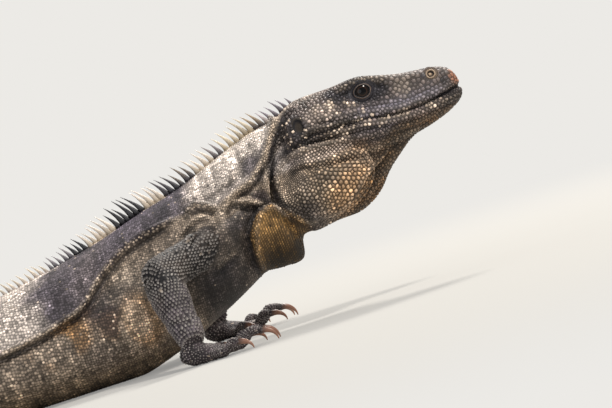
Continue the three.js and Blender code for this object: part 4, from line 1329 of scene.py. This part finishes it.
# Scales are thin keratin plates over hide: half matt, with a soft gloss and a painted highlight on each crown
def scaleMaterial(name, roughness, sheen, crownLight, gapShade, edgePower=1.5):
    material, add = newMaterial(name)
    grain = noise(add, 1400.0, 3.0)
    worn = scaled(add, stored(add, "hide", "Color"), spread(add, grain, 0.86, 1.14, 0.3, 0.7))
    # painted highlight on each crown, painted shade in the gaps at its rim
    lit = scaled(add, worn, spread(add, power(add, stored(add, "rim"), 1.6), crownLight, gapShade))
    # pale tips, partly their own colour and partly painted highlight
    paleTipAndHighlight = product(add, stored(add, "edge"), power(add, stored(add, "tip"), edgePower))
    inputs = {"Factor": paleTipAndHighlight, "A": lit, "B": linear(hideColours["paleEdgeAndHighlight"])}
    colour = add("ShaderNodeMix", inputs, data_type="RGBA").outputs["Result"]
    rough = spread(add, grain, roughness - 0.1, roughness + 0.12)
    surface(add, colour, Roughness=rough, IOR=1.54, Specular_IOR_Level=sheen,
            Normal=bumps(add, grain, 0.25, 0.0002))
    return material


# Hide between the scales: the same markings, darkened as painted shade, and quite matt
# Its creases are a third of a millimetre deep
def hideMaterial():
    material, add = newMaterial("hideUnderScales")
    cells = add("ShaderNodeTexVoronoi", {"Vector": objectPlace(add), "Scale": 1100.0}).outputs["Distance"]
    colour = scaled(add, stored(add, "hide", "Color"), spread(add, cells, 0.62, 0.4))
    surface(add, colour, Roughness=0.72, IOR=1.45, Normal=bumps(add, cells, 0.5, 0.0003))
    return material


# Crest spines and claws are solid horn: smooth, faintly streaked along their length and a little glossy
def hornMaterial(name, roughness):
    material, add = newMaterial(name)
    colour = scaled(add, stored(add, "hide", "Color"), spread(add, noise(add, 700.0, 2.0), 0.78, 1.2))
    surface(add, colour, Roughness=roughness, IOR=1.55)
    return material


finishes = {
    "body": scaleMaterial("smallKeratinScales", 0.52, 0.32, 1.62, 0.14),
    "head": scaleMaterial("headKeratinPlates", 0.48, 0.4, 1.7, 0.05),
    "jowl": scaleMaterial("jowlKeratinTiles", 0.46, 0.45, 2.1, 0.02),
    "limb": scaleMaterial("keeledKeratinScales", 0.5, 0.14, 0.95, 0.2, 2.7),
    "hide": hideMaterial(),
    "crest": hornMaterial("crestHorn", 0.42),
    "claw": hornMaterial("clawHorn", 0.34),
}


# Coats: one scale form for each kind, set on its roots by Geometry Nodes

# Rim points are share of the length from root to tip and share of the width, sunk this deep; then the crown
scaleForms = {
    "grain": {"rim": [(-0.5, 0.26), (-0.5, -0.26), (0, -0.52), (0.5, -0.27), (0.5, 0.27), (0, 0.52)],
              "crown": [(0.1, 0, 0.36)], "sunk": -0.12, "grow": 1.24},
    "keeled": {"rim": [(-0.5, 0.3), (-0.5, -0.3), (-0.05, -0.5), (0.4, -0.36), (0.62, 0), (0.4, 0.36),
                       (-0.05, 0.5)], "crown": [(-0.3, 0, 0.16), (0.5, 0, 0.5)], "sunk": -0.2, "grow": 1.04},
    "spiny": {"rim": [(-0.5, 0.42), (-0.5, -0.42), (0, -0.5), (0.45, -0.4), (0.6, 0), (0.45, 0.4), (0, 0.5)],
              "crown": [(-0.35, 0, 0.3), (0.85, 0, 1.0)], "sunk": -0.22, "grow": 1.04},
}
# piece: form, height of a crown in millimetres for each millimetre of width, finish, pale edges, slot
# pale edges are partly painted highlight
coatStyles = {
    "scalesForeBody": ("grain", 0.5, "body", 0.25, "skin_slate"),
    "scalesMidBody": ("grain", 0.5, "body", 0.25, "skin_slate"),
    "scalesHindBody": ("grain", 0.45, "body", 0.25, "skin_slate"),
    "scalesFolds": ("grain", 0.5, "body", 0.2, "skin_umber"),
    "scalesFlap": ("grain", 0.5, "body", 0.05, "skin_ochre"),
    "scalesArms": ("keeled", 0.75, "limb", 0.95, "skin_soot"),
    "scalesLegs": ("keeled", 0.9, "limb", 0.6, "skin_soot"),
    "scalesHandsFeet": ("keeled", 0.6, "limb", 0.72, "skin_soot"),
    "scalesTail": ("keeled", 0.4, "body", 0.2, "skin_soot"),
    "tailWhorls": ("spiny", 1.05, "limb", 0.35, "skin_soot"),
}
patchWidth = 0.003  # of each scale's own patch in the chart
lowest = 0.08  # no coat goes under this height
attributeFields = {"FLOAT": "value", "FLOAT_VECTOR": "vector", "FLOAT_COLOR": "color"}


def store(mesh, name, kind, values):
    attribute = mesh.attributes.new(name, kind, "POINT")
    attribute.data.foreach_set(attributeFields[kind], np.asarray(values, np.float32).ravel())


def storeHide(mesh, colours):
    store(mesh, "hide", "FLOAT_COLOR", np.column_stack([colours, np.ones(len(colours))]))


def scaleForm(name):
    rim, crown, sunk = (scaleForms[name][key] for key in ("rim", "crown", "sunk"))
    n = len(rim)
    points = np.array([(x, y, sunk) for x, y in rim] + crown, float)
    faces = []
    for k in range(n):
        j = (k + 1) % n
        mine, other = (n + (len(crown) > 1 and rim[v][0] > 0) for v in (k, j))
        faces.append((k, j, other))
        if mine != other:
            faces.append((k, other, mine))
    # turn the faces outward, whichever way the rim runs
    middle = points.mean(0) - [0, 0, 0.3]
    for i, face in enumerate(faces):
        a, b, c = points[list(face)]
        if np.dot(np.cross(b - a, c - a), (a + b + c) / 3 - middle) <= 0:
            faces[i] = face[::-1]
    obj = meshFrom(name + "ScaleForm", points / mm, faces)
    store(obj.data, "rim", "FLOAT", [1.0] * n + [0.0] * len(crown))
    tips = [1.0 if x > 0.5 else 0.6 if 0.3 < x < 0.5 else 0.0 for x, _ in rim]
    store(obj.data, "tip", "FLOAT", tips + [0.72 * float(x > 0.3) for x, _, _ in crown])
    store(obj.data, "patch", "FLOAT_VECTOR", points * [1, 1, 0])
    return obj


def coatTree():
    tree = bpy.data.node_groups.new("coatOfScales", "GeometryNodeTree")
    sockets = {"Geometry": "Geometry", "Scale form": "Object", "Patch width": "Float", "Material": "Material"}
    for name, kind in sockets.items():
        tree.interface.new_socket(name, in_out="INPUT", socket_type="NodeSocket" + kind)
    tree.interface.new_socket("Geometry", in_out="OUTPUT", socket_type="NodeSocketGeometry")
    add = nodeMaker(tree)
    given = add("NodeGroupInput").outputs
    turn, stretch, rootUv, patch = (
        add("GeometryNodeInputNamedAttribute", {"Name": name}, data_type="FLOAT_VECTOR").outputs["Attribute"]
        for name in ("turn", "stretch", "rootUv", "patch"))
    form = add("GeometryNodeObjectInfo", {"Object": given["Scale form"]})
    rotation = add("FunctionNodeEulerToRotation", {"Euler": turn})
    placed = add("GeometryNodeInstanceOnPoints", {
        "Points": given["Geometry"], "Instance": form.outputs["Geometry"],
        "Rotation": rotation.outputs["Rotation"], "Scale": stretch})
    real = add("GeometryNodeRealizeInstances", {"Geometry": placed.outputs["Instances"]})
    flat = scaled(add, patch, given["Patch width"])
    chart = add("ShaderNodeVectorMath", {0: flat, 1: rootUv}, operation="ADD")
    kept = add("GeometryNodeStoreNamedAttribute", {
        "Geometry": real.outputs["Geometry"], "Name": "OFBake", "Value": chart.outputs[0]},
        data_type="FLOAT2", domain="CORNER")
    inputs = {"Geometry": kept.outputs["Geometry"], "Material": given["Material"]}
    add("NodeGroupOutput", {"Geometry": add("GeometryNodeSetMaterial", inputs).outputs["Geometry"]})
    return tree


def turns(normal, lie):  # Euler angles that point X along the lie and Z along the normal
    side = np.cross(normal, lie)
    pitch = np.arcsin(np.clip(-lie[:, 2], -1, 1))
    return np.column_stack([np.arctan2(side[:, 2], normal[:, 2]), pitch, np.arctan2(lie[:, 1], lie[:, 0])])


def finished(obj, slot):  # off the ground, smooth, rid of its working values and attached to the root
    points = readPoints(obj.data)
    points[:, 2] = np.maximum(points[:, 2], lowest)
    writePoints(obj.data, points)
    for key in ("turn", "stretch", "rootUv", "patch"):
        if key in obj.data.attributes:
            obj.data.attributes.remove(obj.data.attributes[key])
    obj.data.polygons.foreach_set("use_smooth", [True] * len(obj.data.polygons))
    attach(obj, "root")


def growCoat(tree, forms, name):
    form, height, finish, paleEdge, slot = coatStyles[name]
    coat = coats[name]
    length, width = coat["size"].T
    jitter = 1 + 0.24 * (rng.random(len(length)) - 0.5)
    grow = scaleForms[form]["grow"] * jitter
    tall = 1.0
    if name == "tailWhorls":  # low at the root of the tail and toward its tip
        away = -coat["place"][:, 0]
        tall = (0.4 + 0.6 * smooth(184, 270, away)) * (1 - 0.4 * smooth(400, 780, away))
    stretch = np.column_stack([length * grow, width * grow, width * height * jitter * tall])
    edges = np.clip(paleEdge * (0.6 + 0.8 * rng.random(len(length))), 0, 1)
    obj = meshFrom(name, coat["place"], [])
    store(obj.data, "turn", "FLOAT_VECTOR", turns(coat["normal"], coat["lie"]))
    store(obj.data, "stretch", "FLOAT_VECTOR", stretch * mm)
    storeHide(obj.data, coat["hide"])
    store(obj.data, "edge", "FLOAT", edges)
    store(obj.data, "rootUv", "FLOAT_VECTOR", np.column_stack([coat["uv"], np.zeros(len(length))]))
    modifier = obj.modifiers.new("coat", "NODES")
    modifier.node_group = tree
    inputs = {s.name: s.identifier for s in tree.interface.items_tree if s.in_out == "INPUT"}
    modifier[inputs["Scale form"]] = forms[form]
    modifier[inputs["Patch width"]] = patchWidth
    modifier[inputs["Material"]] = finishes[finish]
    applied(obj)
    finished(obj, slot)
    print(name, len(obj.data.polygons), "faces")


coatNodes = coatTree()
formObjects = {name: scaleForm(name) for name in scaleForms}
for name in coatStyles:
    growCoat(coatNodes, formObjects, name)
for obj in formObjects.values():
    bpy.data.objects.remove(obj)


# Plates that fit one another, for the head, throat and jowls: each fills the ground nearest to its own root

# piece: corners, crown height, gap in millimetres, finish, slot, rings: share of the reach, height, rim
plateStyles = {
    "platesHead": (7, 0.42, 0.18, "head", "skin_slate", [(1, -0.22, 1.0), (0.7, 0.42 * 0.62, 0.2)]),
    "platesJowls": (8, 0.55, 0.42, "jowl", "skin_ochre",
                    [(1, -0.22, 1.0), (0.93, 0.14, 0.75), (0.66, 0.55 * 0.62, 0.1)]),
    "scalesThroat": (6, 0.45, 0.16, "head", "skin_ochre", [(1, -0.22, 1.0), (0.62, 0.45 * 0.62, 0.2)]),
}
nearPlace = nearestTo(allPlaces)


def plateReach(coat, side, angle, gap):  # how far each corner goes before a neighbour's ground begins
    places, own = coat["place"], coat["size"].mean(1)
    near = np.array([[i for _, i, _ in nearPlace.find_n(p, 11)][1:] for p in places])
    away = allPlaces[near] - places[:, None]
    u, v = (np.einsum("nkc,nc->nk", away, axis) for axis in (coat["lie"], side))
    half = (u ** 2 + v ** 2) / 2
    reach = np.empty((len(places), len(angle)))
    for k, a in enumerate(angle):
        ahead = u * math.cos(a) + v * math.sin(a)
        stop = np.where(ahead > 1e-3, half / np.maximum(ahead, 1e-3), 1e9).min(1)
        reach[:, k] = np.clip(np.minimum(stop, own * 0.78) - gap * 0.5, 0.2, None)
    return reach


def fittedPlates(name):
    corners, crown, gap, finish, slot, levels = plateStyles[name]
    coat = coats[name]
    places, normal, lie = coat["place"], coat["normal"], coat["lie"]
    side = np.cross(normal, lie)
    angle = 2 * np.pi * (np.arange(corners) + 0.5) / corners
    reach = plateReach(coat, side, angle, gap)
    snout = smooth(166, 182, places[:, 0]) * smooth(84, 90, places[:, 2])  # plates are flatter there
    tall = np.minimum(coat["size"].mean(1), 2.4) * (1 - 0.72 * snout)
    rings = []
    for share, height, _ in levels:
        r = (reach * share)[..., None]
        h = height * tall if height > 0 else np.full(len(places), height)
        rings.append(places[:, None] + lie[:, None] * r * np.cos(angle)[:, None]
                     + side[:, None] * r * np.sin(angle)[:, None] + normal[:, None] * h[:, None, None])
    top = places + normal * (crown * 0.72 * tall)[:, None]
    points = np.concatenate(rings + [top[:, None]], axis=1)
    count = points.shape[1]
    i = np.arange(corners) + count - 1 - corners
    fan = np.stack([i, np.roll(i, -1), np.full(corners, count - 1)], 1).tolist()
    faces = ringFaces(len(rings), corners) + fan
    obj = meshFrom(name, *joinedForms([(plate, faces) for plate in points]))
    rim = np.array([rim for _, _, rim in levels for _ in range(corners)] + [0.0])
    store(obj.data, "rim", "FLOAT", rim * (1 - 0.62 * snout)[:, None] + 0.26 * snout[:, None])
    storeHide(obj.data, np.repeat(coat["hide"], count, axis=0))
    store(obj.data, "edge", "FLOAT", np.zeros(len(places) * count))
    ring = np.stack([np.cos(angle), np.sin(angle)], 1)
    flat = np.concatenate([ring * share for share, _, _ in levels] + [np.zeros((1, 2))])
    chart = (coat["uv"][:, None] + 0.5 * flat * patchWidth).reshape(-1, 2)
    loops = np.empty(len(obj.data.loops), np.int32)
    obj.data.loops.foreach_get("vertex_index", loops)
    obj.data.uv_layers.new(name="OFBake").data.foreach_set("uv", chart[loops].astype(np.float32).ravel())
    obj.data.materials.append(finishes[finish])
    finished(obj, slot)
    print(name, sum(len(p.vertices) - 2 for p in obj.data.polygons), "triangles")


for name in plateStyles:
    fittedPlates(name)


def paintSkin():  # the skin takes the markings of the scales over it
    shades = np.concatenate([c["hide"] for c in coats.values()])
    nearest = np.array([[i for _, i, _ in nearPlace.find_n(p, 9)] for p in skinPoints])
    storeHide(skin.data, np.median(shades[nearest], axis=1))
    skin.data.materials.clear()
    skin.data.materials.append(finishes["hide"])


paintSkin()
print("skin painted")


# Crest: curved blades of horn, close together, in groups of one colour

crest = {
    "firstX": 126.8, "lastX": -204, "pitch": 2.85, "lean": 0.78, "thickness": 1.6, "length": 3.5,
    "rootDepth": 0.8, "levels": [0, 0.22, 0.45, 0.68, 0.86, 1.0], "sides": 6,
    "heights": [(-204, 2.0), (-165, 2.8), (-115, 3.6), (-60, 4.6), (-20, 5.6), (0, 6.4), (12, 7.4),
                (25, 9.8), (36, 10.2), (46, 9.2), (60, 9.0), (75, 8.0), (90, 8.6), (105, 9.6), (117, 8.4),
                (124, 6.4), (128, 3.4)],
}


def hornPiece(name, forms, shades, finish):
    obj = meshFrom(name, *joinedForms(forms))
    storeHide(obj.data, np.concatenate(shades))
    obj.data.materials.append(finishes[finish])
    finished(obj, "claw_horn")
    return obj


def spineForm():  # unit blade: rises along Z and leans back
    levels, sides = np.array(crest["levels"]), crest["sides"]
    lean, rise = np.repeat(levels ** 1.5, sides), np.repeat(levels, sides)
    half = np.repeat(0.5 * (1 - levels ** 1.05) + 0.035, sides)
    a = np.tile(2 * np.pi * np.arange(sides) / sides, len(levels))
    top = (len(levels) - 1) * sides
    faces = ringFaces(len(levels), sides) + [tuple(range(sides))[::-1], tuple(top + k for k in range(sides))]
    return lean, rise, np.cos(a) * half, np.sin(a) * half, faces


def buildCrest():
    lean, rise, ahead, aside, faces = spineForm()
    heights = np.array(crest["heights"])
    forms, shades = [], []
    x = crest["firstX"]
    while x > crest["lastX"]:
        hit = cast((x, 0, float(np.interp(x, [0, 60, 120], [22, 50, 80]))), (0, 0, 1))
        height = float(stationCurve(heights[:, 0], heights[:, 1], x)) * (0.78 + 0.36 * rng.random())
        height = min(height, cadBox[1][2] / mm - hit[2] - 0.4)
        sway = 0.5 * (rng.random() - 0.5)
        tilt = 0.9 + 0.25 * rng.random()
        root = np.array([x, sway, hit[2] - crest["rootDepth"]])
        bulk = min(1.05, 0.32 + 0.085 * height)
        blade = root + np.column_stack([
            -lean * height * crest["lean"] * tilt + ahead * crest["length"] * bulk,
            aside * crest["thickness"] * bulk + sway * rise * 1.5, rise * (height + crest["rootDepth"])])
        rootShade, tipShade = crestShade(np.array([x]))
        t = smooth(0.1, 0.8, rise)[:, None]
        vary = 0.82 + 0.4 * rng.random()
        forms.append((blade, faces))
        shades.append((rootShade * (1 - t) + tipShade * t) * vary)
        x -= crest["pitch"] * (0.85 + 0.3 * rng.random())
    hornPiece("crestSpines", forms, shades, "crest")
    print("crest spines:", len(forms))


buildCrest()


# Claws: hooked cones that reach the ground, laterally flattened

clawShape = {"root": "#3a2c29", "arms": "#8d6450", "legs": "#6b5145", "sides": 14, "steps": 14, "floor": 0.45}


def clawForm(digit, t):
    length, radius = digit["claw"]
    line = digit["line"]
    flat = unit(unit(line[-1] - line[-2]) * [1, 1, 0])
    end = line[-1] - flat * radius * 0.2
    drop = (end[2] - 0.9) * np.clip(t, 0, 1) ** 1.7
    middle = end + flat * (length * np.sin(np.pi * t / 2) * 0.86)[:, None] - upward * drop[:, None]
    side = np.array([-flat[1], flat[0], 0])
    rings = []
    for k, turn in enumerate(np.radians(14 + 74 * t)):
        up = flat * math.sin(turn) + upward * math.cos(turn)
        r = max(0.12, radius * 0.82 * (1 - 0.86 * max(t[k], 0) ** 1.1))
        rings.append(roundSection(middle[k], side, up, r * 0.78, r, r, clawShape["sides"]))
    points, faces = loft(rings)
    points[:, 2] = np.maximum(points[:, 2], clawShape["floor"])
    return points, faces


def buildClaws():
    t = np.linspace(-0.14, 1, clawShape["steps"])
    share = np.concatenate([np.repeat(t, clawShape["sides"]), [t[0], t[-1]]])[:, None]
    out = smooth(-0.1, 0.35, share)
    shades = []
    for digit in digitParts:
        shade = tone(clawShape[digit["kind"]])
        tip = 0.12 * smooth(0.6, 1.0, share) * shade
        shades.append(tone(clawShape["root"]) * (1 - out) + shade * out + tip)
    claws = hornPiece("claws", [clawForm(digit, t) for digit in digitParts], shades, "claw")
    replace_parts(claws, *[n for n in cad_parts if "claw" in n])


buildClaws()


# Eyes: a dark ball with a brown iris under a clear, wet cornea

eyeLook = {"iris": "#19110d", "irisRing": "#33221a", "pupil": "#030304", "white": "#0d0a09",
           "pupilRadius": 1.9, "irisRadius": 3.4, "reach": 6, "segments": (64, 40), "pupilOff": (0.3, 0.6)}


def eyeMaterial(side):
    material, add = newMaterial("wetEye" + ("Left" if side > 0 else "Right"))
    x, y, z = eye["centre"]
    pupil = (x + eyeLook["pupilOff"][0]) * mm, side * y * mm, (z + eyeLook["pupilOff"][1]) * mm
    local = add("ShaderNodeVectorMath", {0: objectPlace(add), 1: pupil}, operation="SUBTRACT")
    flat = add("ShaderNodeVectorMath", {0: local.outputs[0], 1: (1000, 0, 1000)}, operation="MULTIPLY")
    radius = add("ShaderNodeVectorMath", {0: flat.outputs[0]}, operation="LENGTH").outputs["Value"]
    ramp = add("ShaderNodeValToRGB", {"Fac": product(add, radius, 1 / eyeLook["reach"])})
    edge, rim = (eyeLook[key] / eyeLook["reach"] for key in ("pupilRadius", "irisRadius"))
    stops = [(0.0, "pupil"), (edge - 0.02, "pupil"), (edge + 0.03, "irisRing"), (0.42, "iris"), (rim, "white"),
             (1.0, "white")]
    elements = ramp.color_ramp.elements
    while len(elements) < len(stops):
        elements.new(0.5)
    for element, (at, shade) in zip(elements, stops):
        element.position = at
        element.color = linear(eyeLook[shade])
    colour = scaled(add, ramp.outputs["Color"], spread(add, noise(add, 900.0, 3.0), 0.5, 1.5))
    surface(add, colour, Roughness=0.05, IOR=1.38, Specular_IOR_Level=0.25, Coat_Weight=0.12,
            Coat_Roughness=0.02)
    return material


def buildEyes():
    for side, tag in ((1, "L"), (-1, "R")):
        centre = np.array(eye["centre"]) * [1, side, 1]
        form = ellipsoidForm(centre, (eye["radius"] - 0.1,) * 3, 0, *eyeLook["segments"])
        ball = meshFrom("eyeball" + tag, *form)
        ball.data.materials.append(eyeMaterial(side))
        finished(ball, "eye")
        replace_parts(ball, "eye_" + tag)


buildEyes()


# Eyelids: rings of fine folds round the eye, lying on the ball and running out under the plates

def onSide(x, z, side):
    hit = cast((x, side * 60, z), (0, -side, 0))
    return side * hit[1] if hit else 0.0


def ringPiece(name, forms, shades, rim, finish, slot):
    obj = meshFrom(name, *joinedForms(forms))
    storeHide(obj.data, np.concatenate(shades))
    store(obj.data, "rim", "FLOAT", np.full(len(obj.data.vertices), rim))
    obj.data.materials.append(finishes[finish])
    finished(obj, slot)
    return obj


def lidPoint(share, lift, a, side):
    middle, radius = eye["centre"], eye["radius"]
    wavy = share * (1 + 0.02 * math.sin(3 * a + 1 + 4 * share) + 0.012 * math.sin(7 * a + 2))
    u = eye["opening"][0] * wavy * math.cos(a)
    v = eye["opening"][1] * wavy * math.sin(a) * (1 - 0.16 * abs(math.cos(a)) ** 3)
    u, v = turned(u, v, -eye["tilt"])
    x, z = middle[0] + eye["off"][0] + u, middle[2] + eye["off"][1] + v
    away = math.hypot(x - middle[0], z - middle[2])
    ball = middle[1] + math.sqrt(radius ** 2 - away ** 2) if away < radius else 0
    hideLevel = onSide(x, z, side)
    onHide = float(smooth(1.2, 1.9, share))
    level = max(ball, hideLevel) if share > 1.15 else ball
    level = level * (1 - onHide) + max(hideLevel, ball - 0.4) * onHide
    rough = (0.12 * math.sin(31 * a + 5 * share) + 0.06 * math.sin(47 * a + 3)) if share > 1 else 0
    rough -= 0.16 * max(0.0, math.sin(a - 0.4)) * (share > 1.2)
    return x, side * (level + lift + rough), z


def buildLids():
    steps = lids["steps"]
    forms, shades = [], []
    for side in bothSides:
        rings = [[lidPoint(share, lift, 2 * math.pi * k / steps, side) for k in range(steps)][::-side]
                 for share, lift, _ in lids["rows"]]
        forms.append(openLoft(np.array(rings)))
        shade = np.repeat([hide(name) for _, _, name in lids["rows"]], steps, axis=0)
        shades.append(shade * np.exp(0.22 * rng.standard_normal(len(shade)))[:, None])
    ringPiece("eyelids", forms, shades, 0.25, "head", "skin_soot")


# Nostrils: a raised ring of horny skin with the opening toward the front; eardrums: thin sunken ovals

nasalRing = {
    "steps": 32, "scale": (1, 0.92), "round": 3.0,
    # radius, height, how far toward the front, colour, width for its height
    # the near-black rows are painted shade in the grooves and in the pit
    "rows": [(4.6, -0.9, 0, "slateDark", 1), (4.25, 0.2, 0, "slateDark", 1), (3.95, 0.35, 0, "umber", 1),
             (3.7, 0.0, 0, "night", 1), (3.4, 0.45, 0, "earth", 1), (3.1, 0.5, 0, "umber", 1),
             (2.9, 0.2, 0, "night", 1), (2.65, 0.75, 0, "umber", 1), (2.3, 1.15, 0, "jowl", 0.98),
             (1.85, 0.95, 0, "umber", 0.95), (1.6, 0.1, 0.1, "night", 0.95), (1.35, -0.5, 0, "night", 0.9),
             (1.05, 0.1, -0.35, "umber", 0.85), (0.7, 0.55, -0.4, "jowl", 0.85),
             (0.03, 0.7, -0.4, "jowl", 0.85)],
}
drum = {
    "steps": 40, "scale": ear["half"], "round": 5.0,
    "rows": [(1.35, -0.5, 0, "cheek", 1), (1.1, 0.15, 0, "earth", 1), (0.98, 0.0, 0, "soot", 1),
             (0.85, -0.6, 0, "soot", 1), (0.5, -0.9, 0, "earth", 1), (0.02, -0.75, 0, "earth", 1)],
}


def discRings(centre, side, disc):
    middle = np.array([centre[0], side * onSide(*centre, side), centre[1]])
    normal = skinNormals[nearVertex.find(middle)[1]]
    normal = unit(np.array([normal[0] * 0.6, side, normal[2] * 0.6]))
    ahead = unit(forward - normal * normal[0])
    up = np.cross(normal, ahead) * side
    a = 2 * np.pi * np.arange(disc["steps"]) / disc["steps"]
    scaleX, scaleZ = disc["scale"]
    rings = [(middle + ahead * front + normal * height + ahead * (radius * squash * scaleX * np.cos(a))[:, None]
              + up * (radius * scaleZ * np.sin(a))[:, None])[::-side]
             for radius, height, front, _, squash in disc["rows"]]
    return np.array(rings)


def surfaceUnder(centre, side, reach):  # the head's side just round a hollow
    x, z = centre
    around = [onSide(x + reach * math.cos(a), z + reach * math.sin(a), side) for a in np.linspace(0, 6, 12)]
    return float(np.mean(around))


def buildDiscs(name, centre, disc, finish, slot):
    forms, shades = [], []
    for side in bothSides:
        rings = discRings(centre, side, disc)
        level = surfaceUnder(centre, side, disc["round"]) + disc["rows"][0][1]
        rings[..., 1] += side * level - rings[0, :, 1].mean()
        forms.append(openLoft(rings))
        shades.append(np.repeat([hide(row[3]) for row in disc["rows"]], disc["steps"], axis=0))
    return ringPiece(name, forms, shades, 0.2, finish, slot)


buildLids()
buildDiscs("nasalRings", nostril["centre"], nasalRing, "head", "skin_ochre")
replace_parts(buildDiscs("eardrums", ear["centre"], drum, "hide", "eardrum"), "ear_L", "ear_R")
print("crest, claws and eyes made")


# Camera, turned with the animal: the ground it lies on sloped, and here is level

camera = {"distance": 2.4, "lens": 282.35, "sensor": 36, "reach": 30, "roll": 18, "elevation": 1.5,
          "aim": (118.2, 0, 56.3)}
studio = {
    "backColour": "#eceae6", "worldColour": "#f2f3f5", "floorColour": "#bdbbb6", "worldStrength": 0.5,
    "floorHalf": 6, "lampAim": (0.05, 0, 0.05),
    "lamps": {
        "key": {"place": (0.95, -0.75, 1.45), "size": 0.32, "power": 23, "colour": (1, 0.95, 0.88)},
        "rim": {"place": (0.55, 1.0, 1.3), "size": 0.4, "power": 26, "colour": (1, 0.96, 0.9)},
        "fill": {"place": (-0.5, -1.6, 0.6), "size": 1.2, "power": 5, "colour": (0.93, 0.96, 1)},
    },
    "shadowReach": (0.25, 0.95),  # the floor's own shade fades out between these distances
}


def addCamera():
    data = bpy.data.cameras.new("camera")
    data.lens = camera["lens"]
    data.sensor_width = camera["sensor"]
    data.clip_end = camera["reach"]
    obj = bpy.data.objects.new("camera", data)
    bpy.context.scene.collection.objects.link(obj)
    rise, roll = math.radians(camera["elevation"]), math.radians(camera["roll"])
    back = Vector((0, -math.cos(rise), math.sin(rise)))
    turn = Matrix.Rotation(roll, 3, -back)
    right = turn @ Vector((1, 0, 0))
    up = turn @ back.cross(Vector((1, 0, 0)))
    place = Matrix((right, up, back)).transposed().to_4x4()
    place.translation = Vector(camera["aim"]) * mm + back * camera["distance"]
    obj.matrix_world = place
    bpy.context.scene.camera = obj


def addLamp(name, lamp):
    data = bpy.data.lights.new(name, "AREA")
    data.shape = "DISK"
    data.size = lamp["size"]
    data.energy = lamp["power"]
    data.color = lamp["colour"]
    obj = bpy.data.objects.new(name, data)
    bpy.context.scene.collection.objects.link(obj)
    obj.location = lamp["place"]
    obj.rotation_euler = (Vector(lamp["place"]) - Vector(studio["lampAim"])).to_track_quat("Z", "Y").to_euler()


def cameraRay(add):
    return add("ShaderNodeLightPath").outputs["Is Camera Ray"]


def mixed(add, share, first, second):
    return add("ShaderNodeMixShader", {"Fac": share, 1: first.outputs[0], 2: second.outputs[0]}).outputs[0]


def addWorld():
    world = bpy.data.worlds.new("studio")
    bpy.context.scene.world = world
    world.use_nodes = True
    add = nodeMaker(world.node_tree)
    ambient, seen = (add("ShaderNodeBackground", {"Color": linear(studio[key]), "Strength": strength})
                     for key, strength in (("worldColour", studio["worldStrength"]), ("backColour", 1.0)))
    add("ShaderNodeOutputWorld", {"Surface": mixed(add, cameraRay(add), ambient, seen)})


def addFloor():
    half = studio["floorHalf"]
    corners = np.array([(-half, -half, 0), (half, -half, 0), (half, half, 0), (-half, half, 0)])
    floor = meshFrom("floor", corners / mm, [(0, 1, 2, 3)])
    material, add = newMaterial("palePaperFloor")
    matt = add("ShaderNodeBsdfDiffuse", {"Color": linear(studio["floorColour"])})
    glow = add("ShaderNodeEmission", {"Color": linear(studio["backColour"]), "Strength": 1.0})
    away = add("ShaderNodeVectorMath", {0: objectPlace(add)}, operation="LENGTH").outputs["Value"]
    fade = spread(add, away, 0.3, 1.0, *studio["shadowReach"])
    fade.node.interpolation_type = "SMOOTHSTEP"
    share = product(add, cameraRay(add), fade)
    add("ShaderNodeOutputMaterial", {"Surface": mixed(add, share, matt, glow)})
    floor.data.materials.append(material)


addCamera()
for name, lamp in studio["lamps"].items():
    addLamp(name, lamp)
addWorld()
addFloor()
bpy.context.scene.view_settings.view_transform = "Standard"
print("studio and camera set")
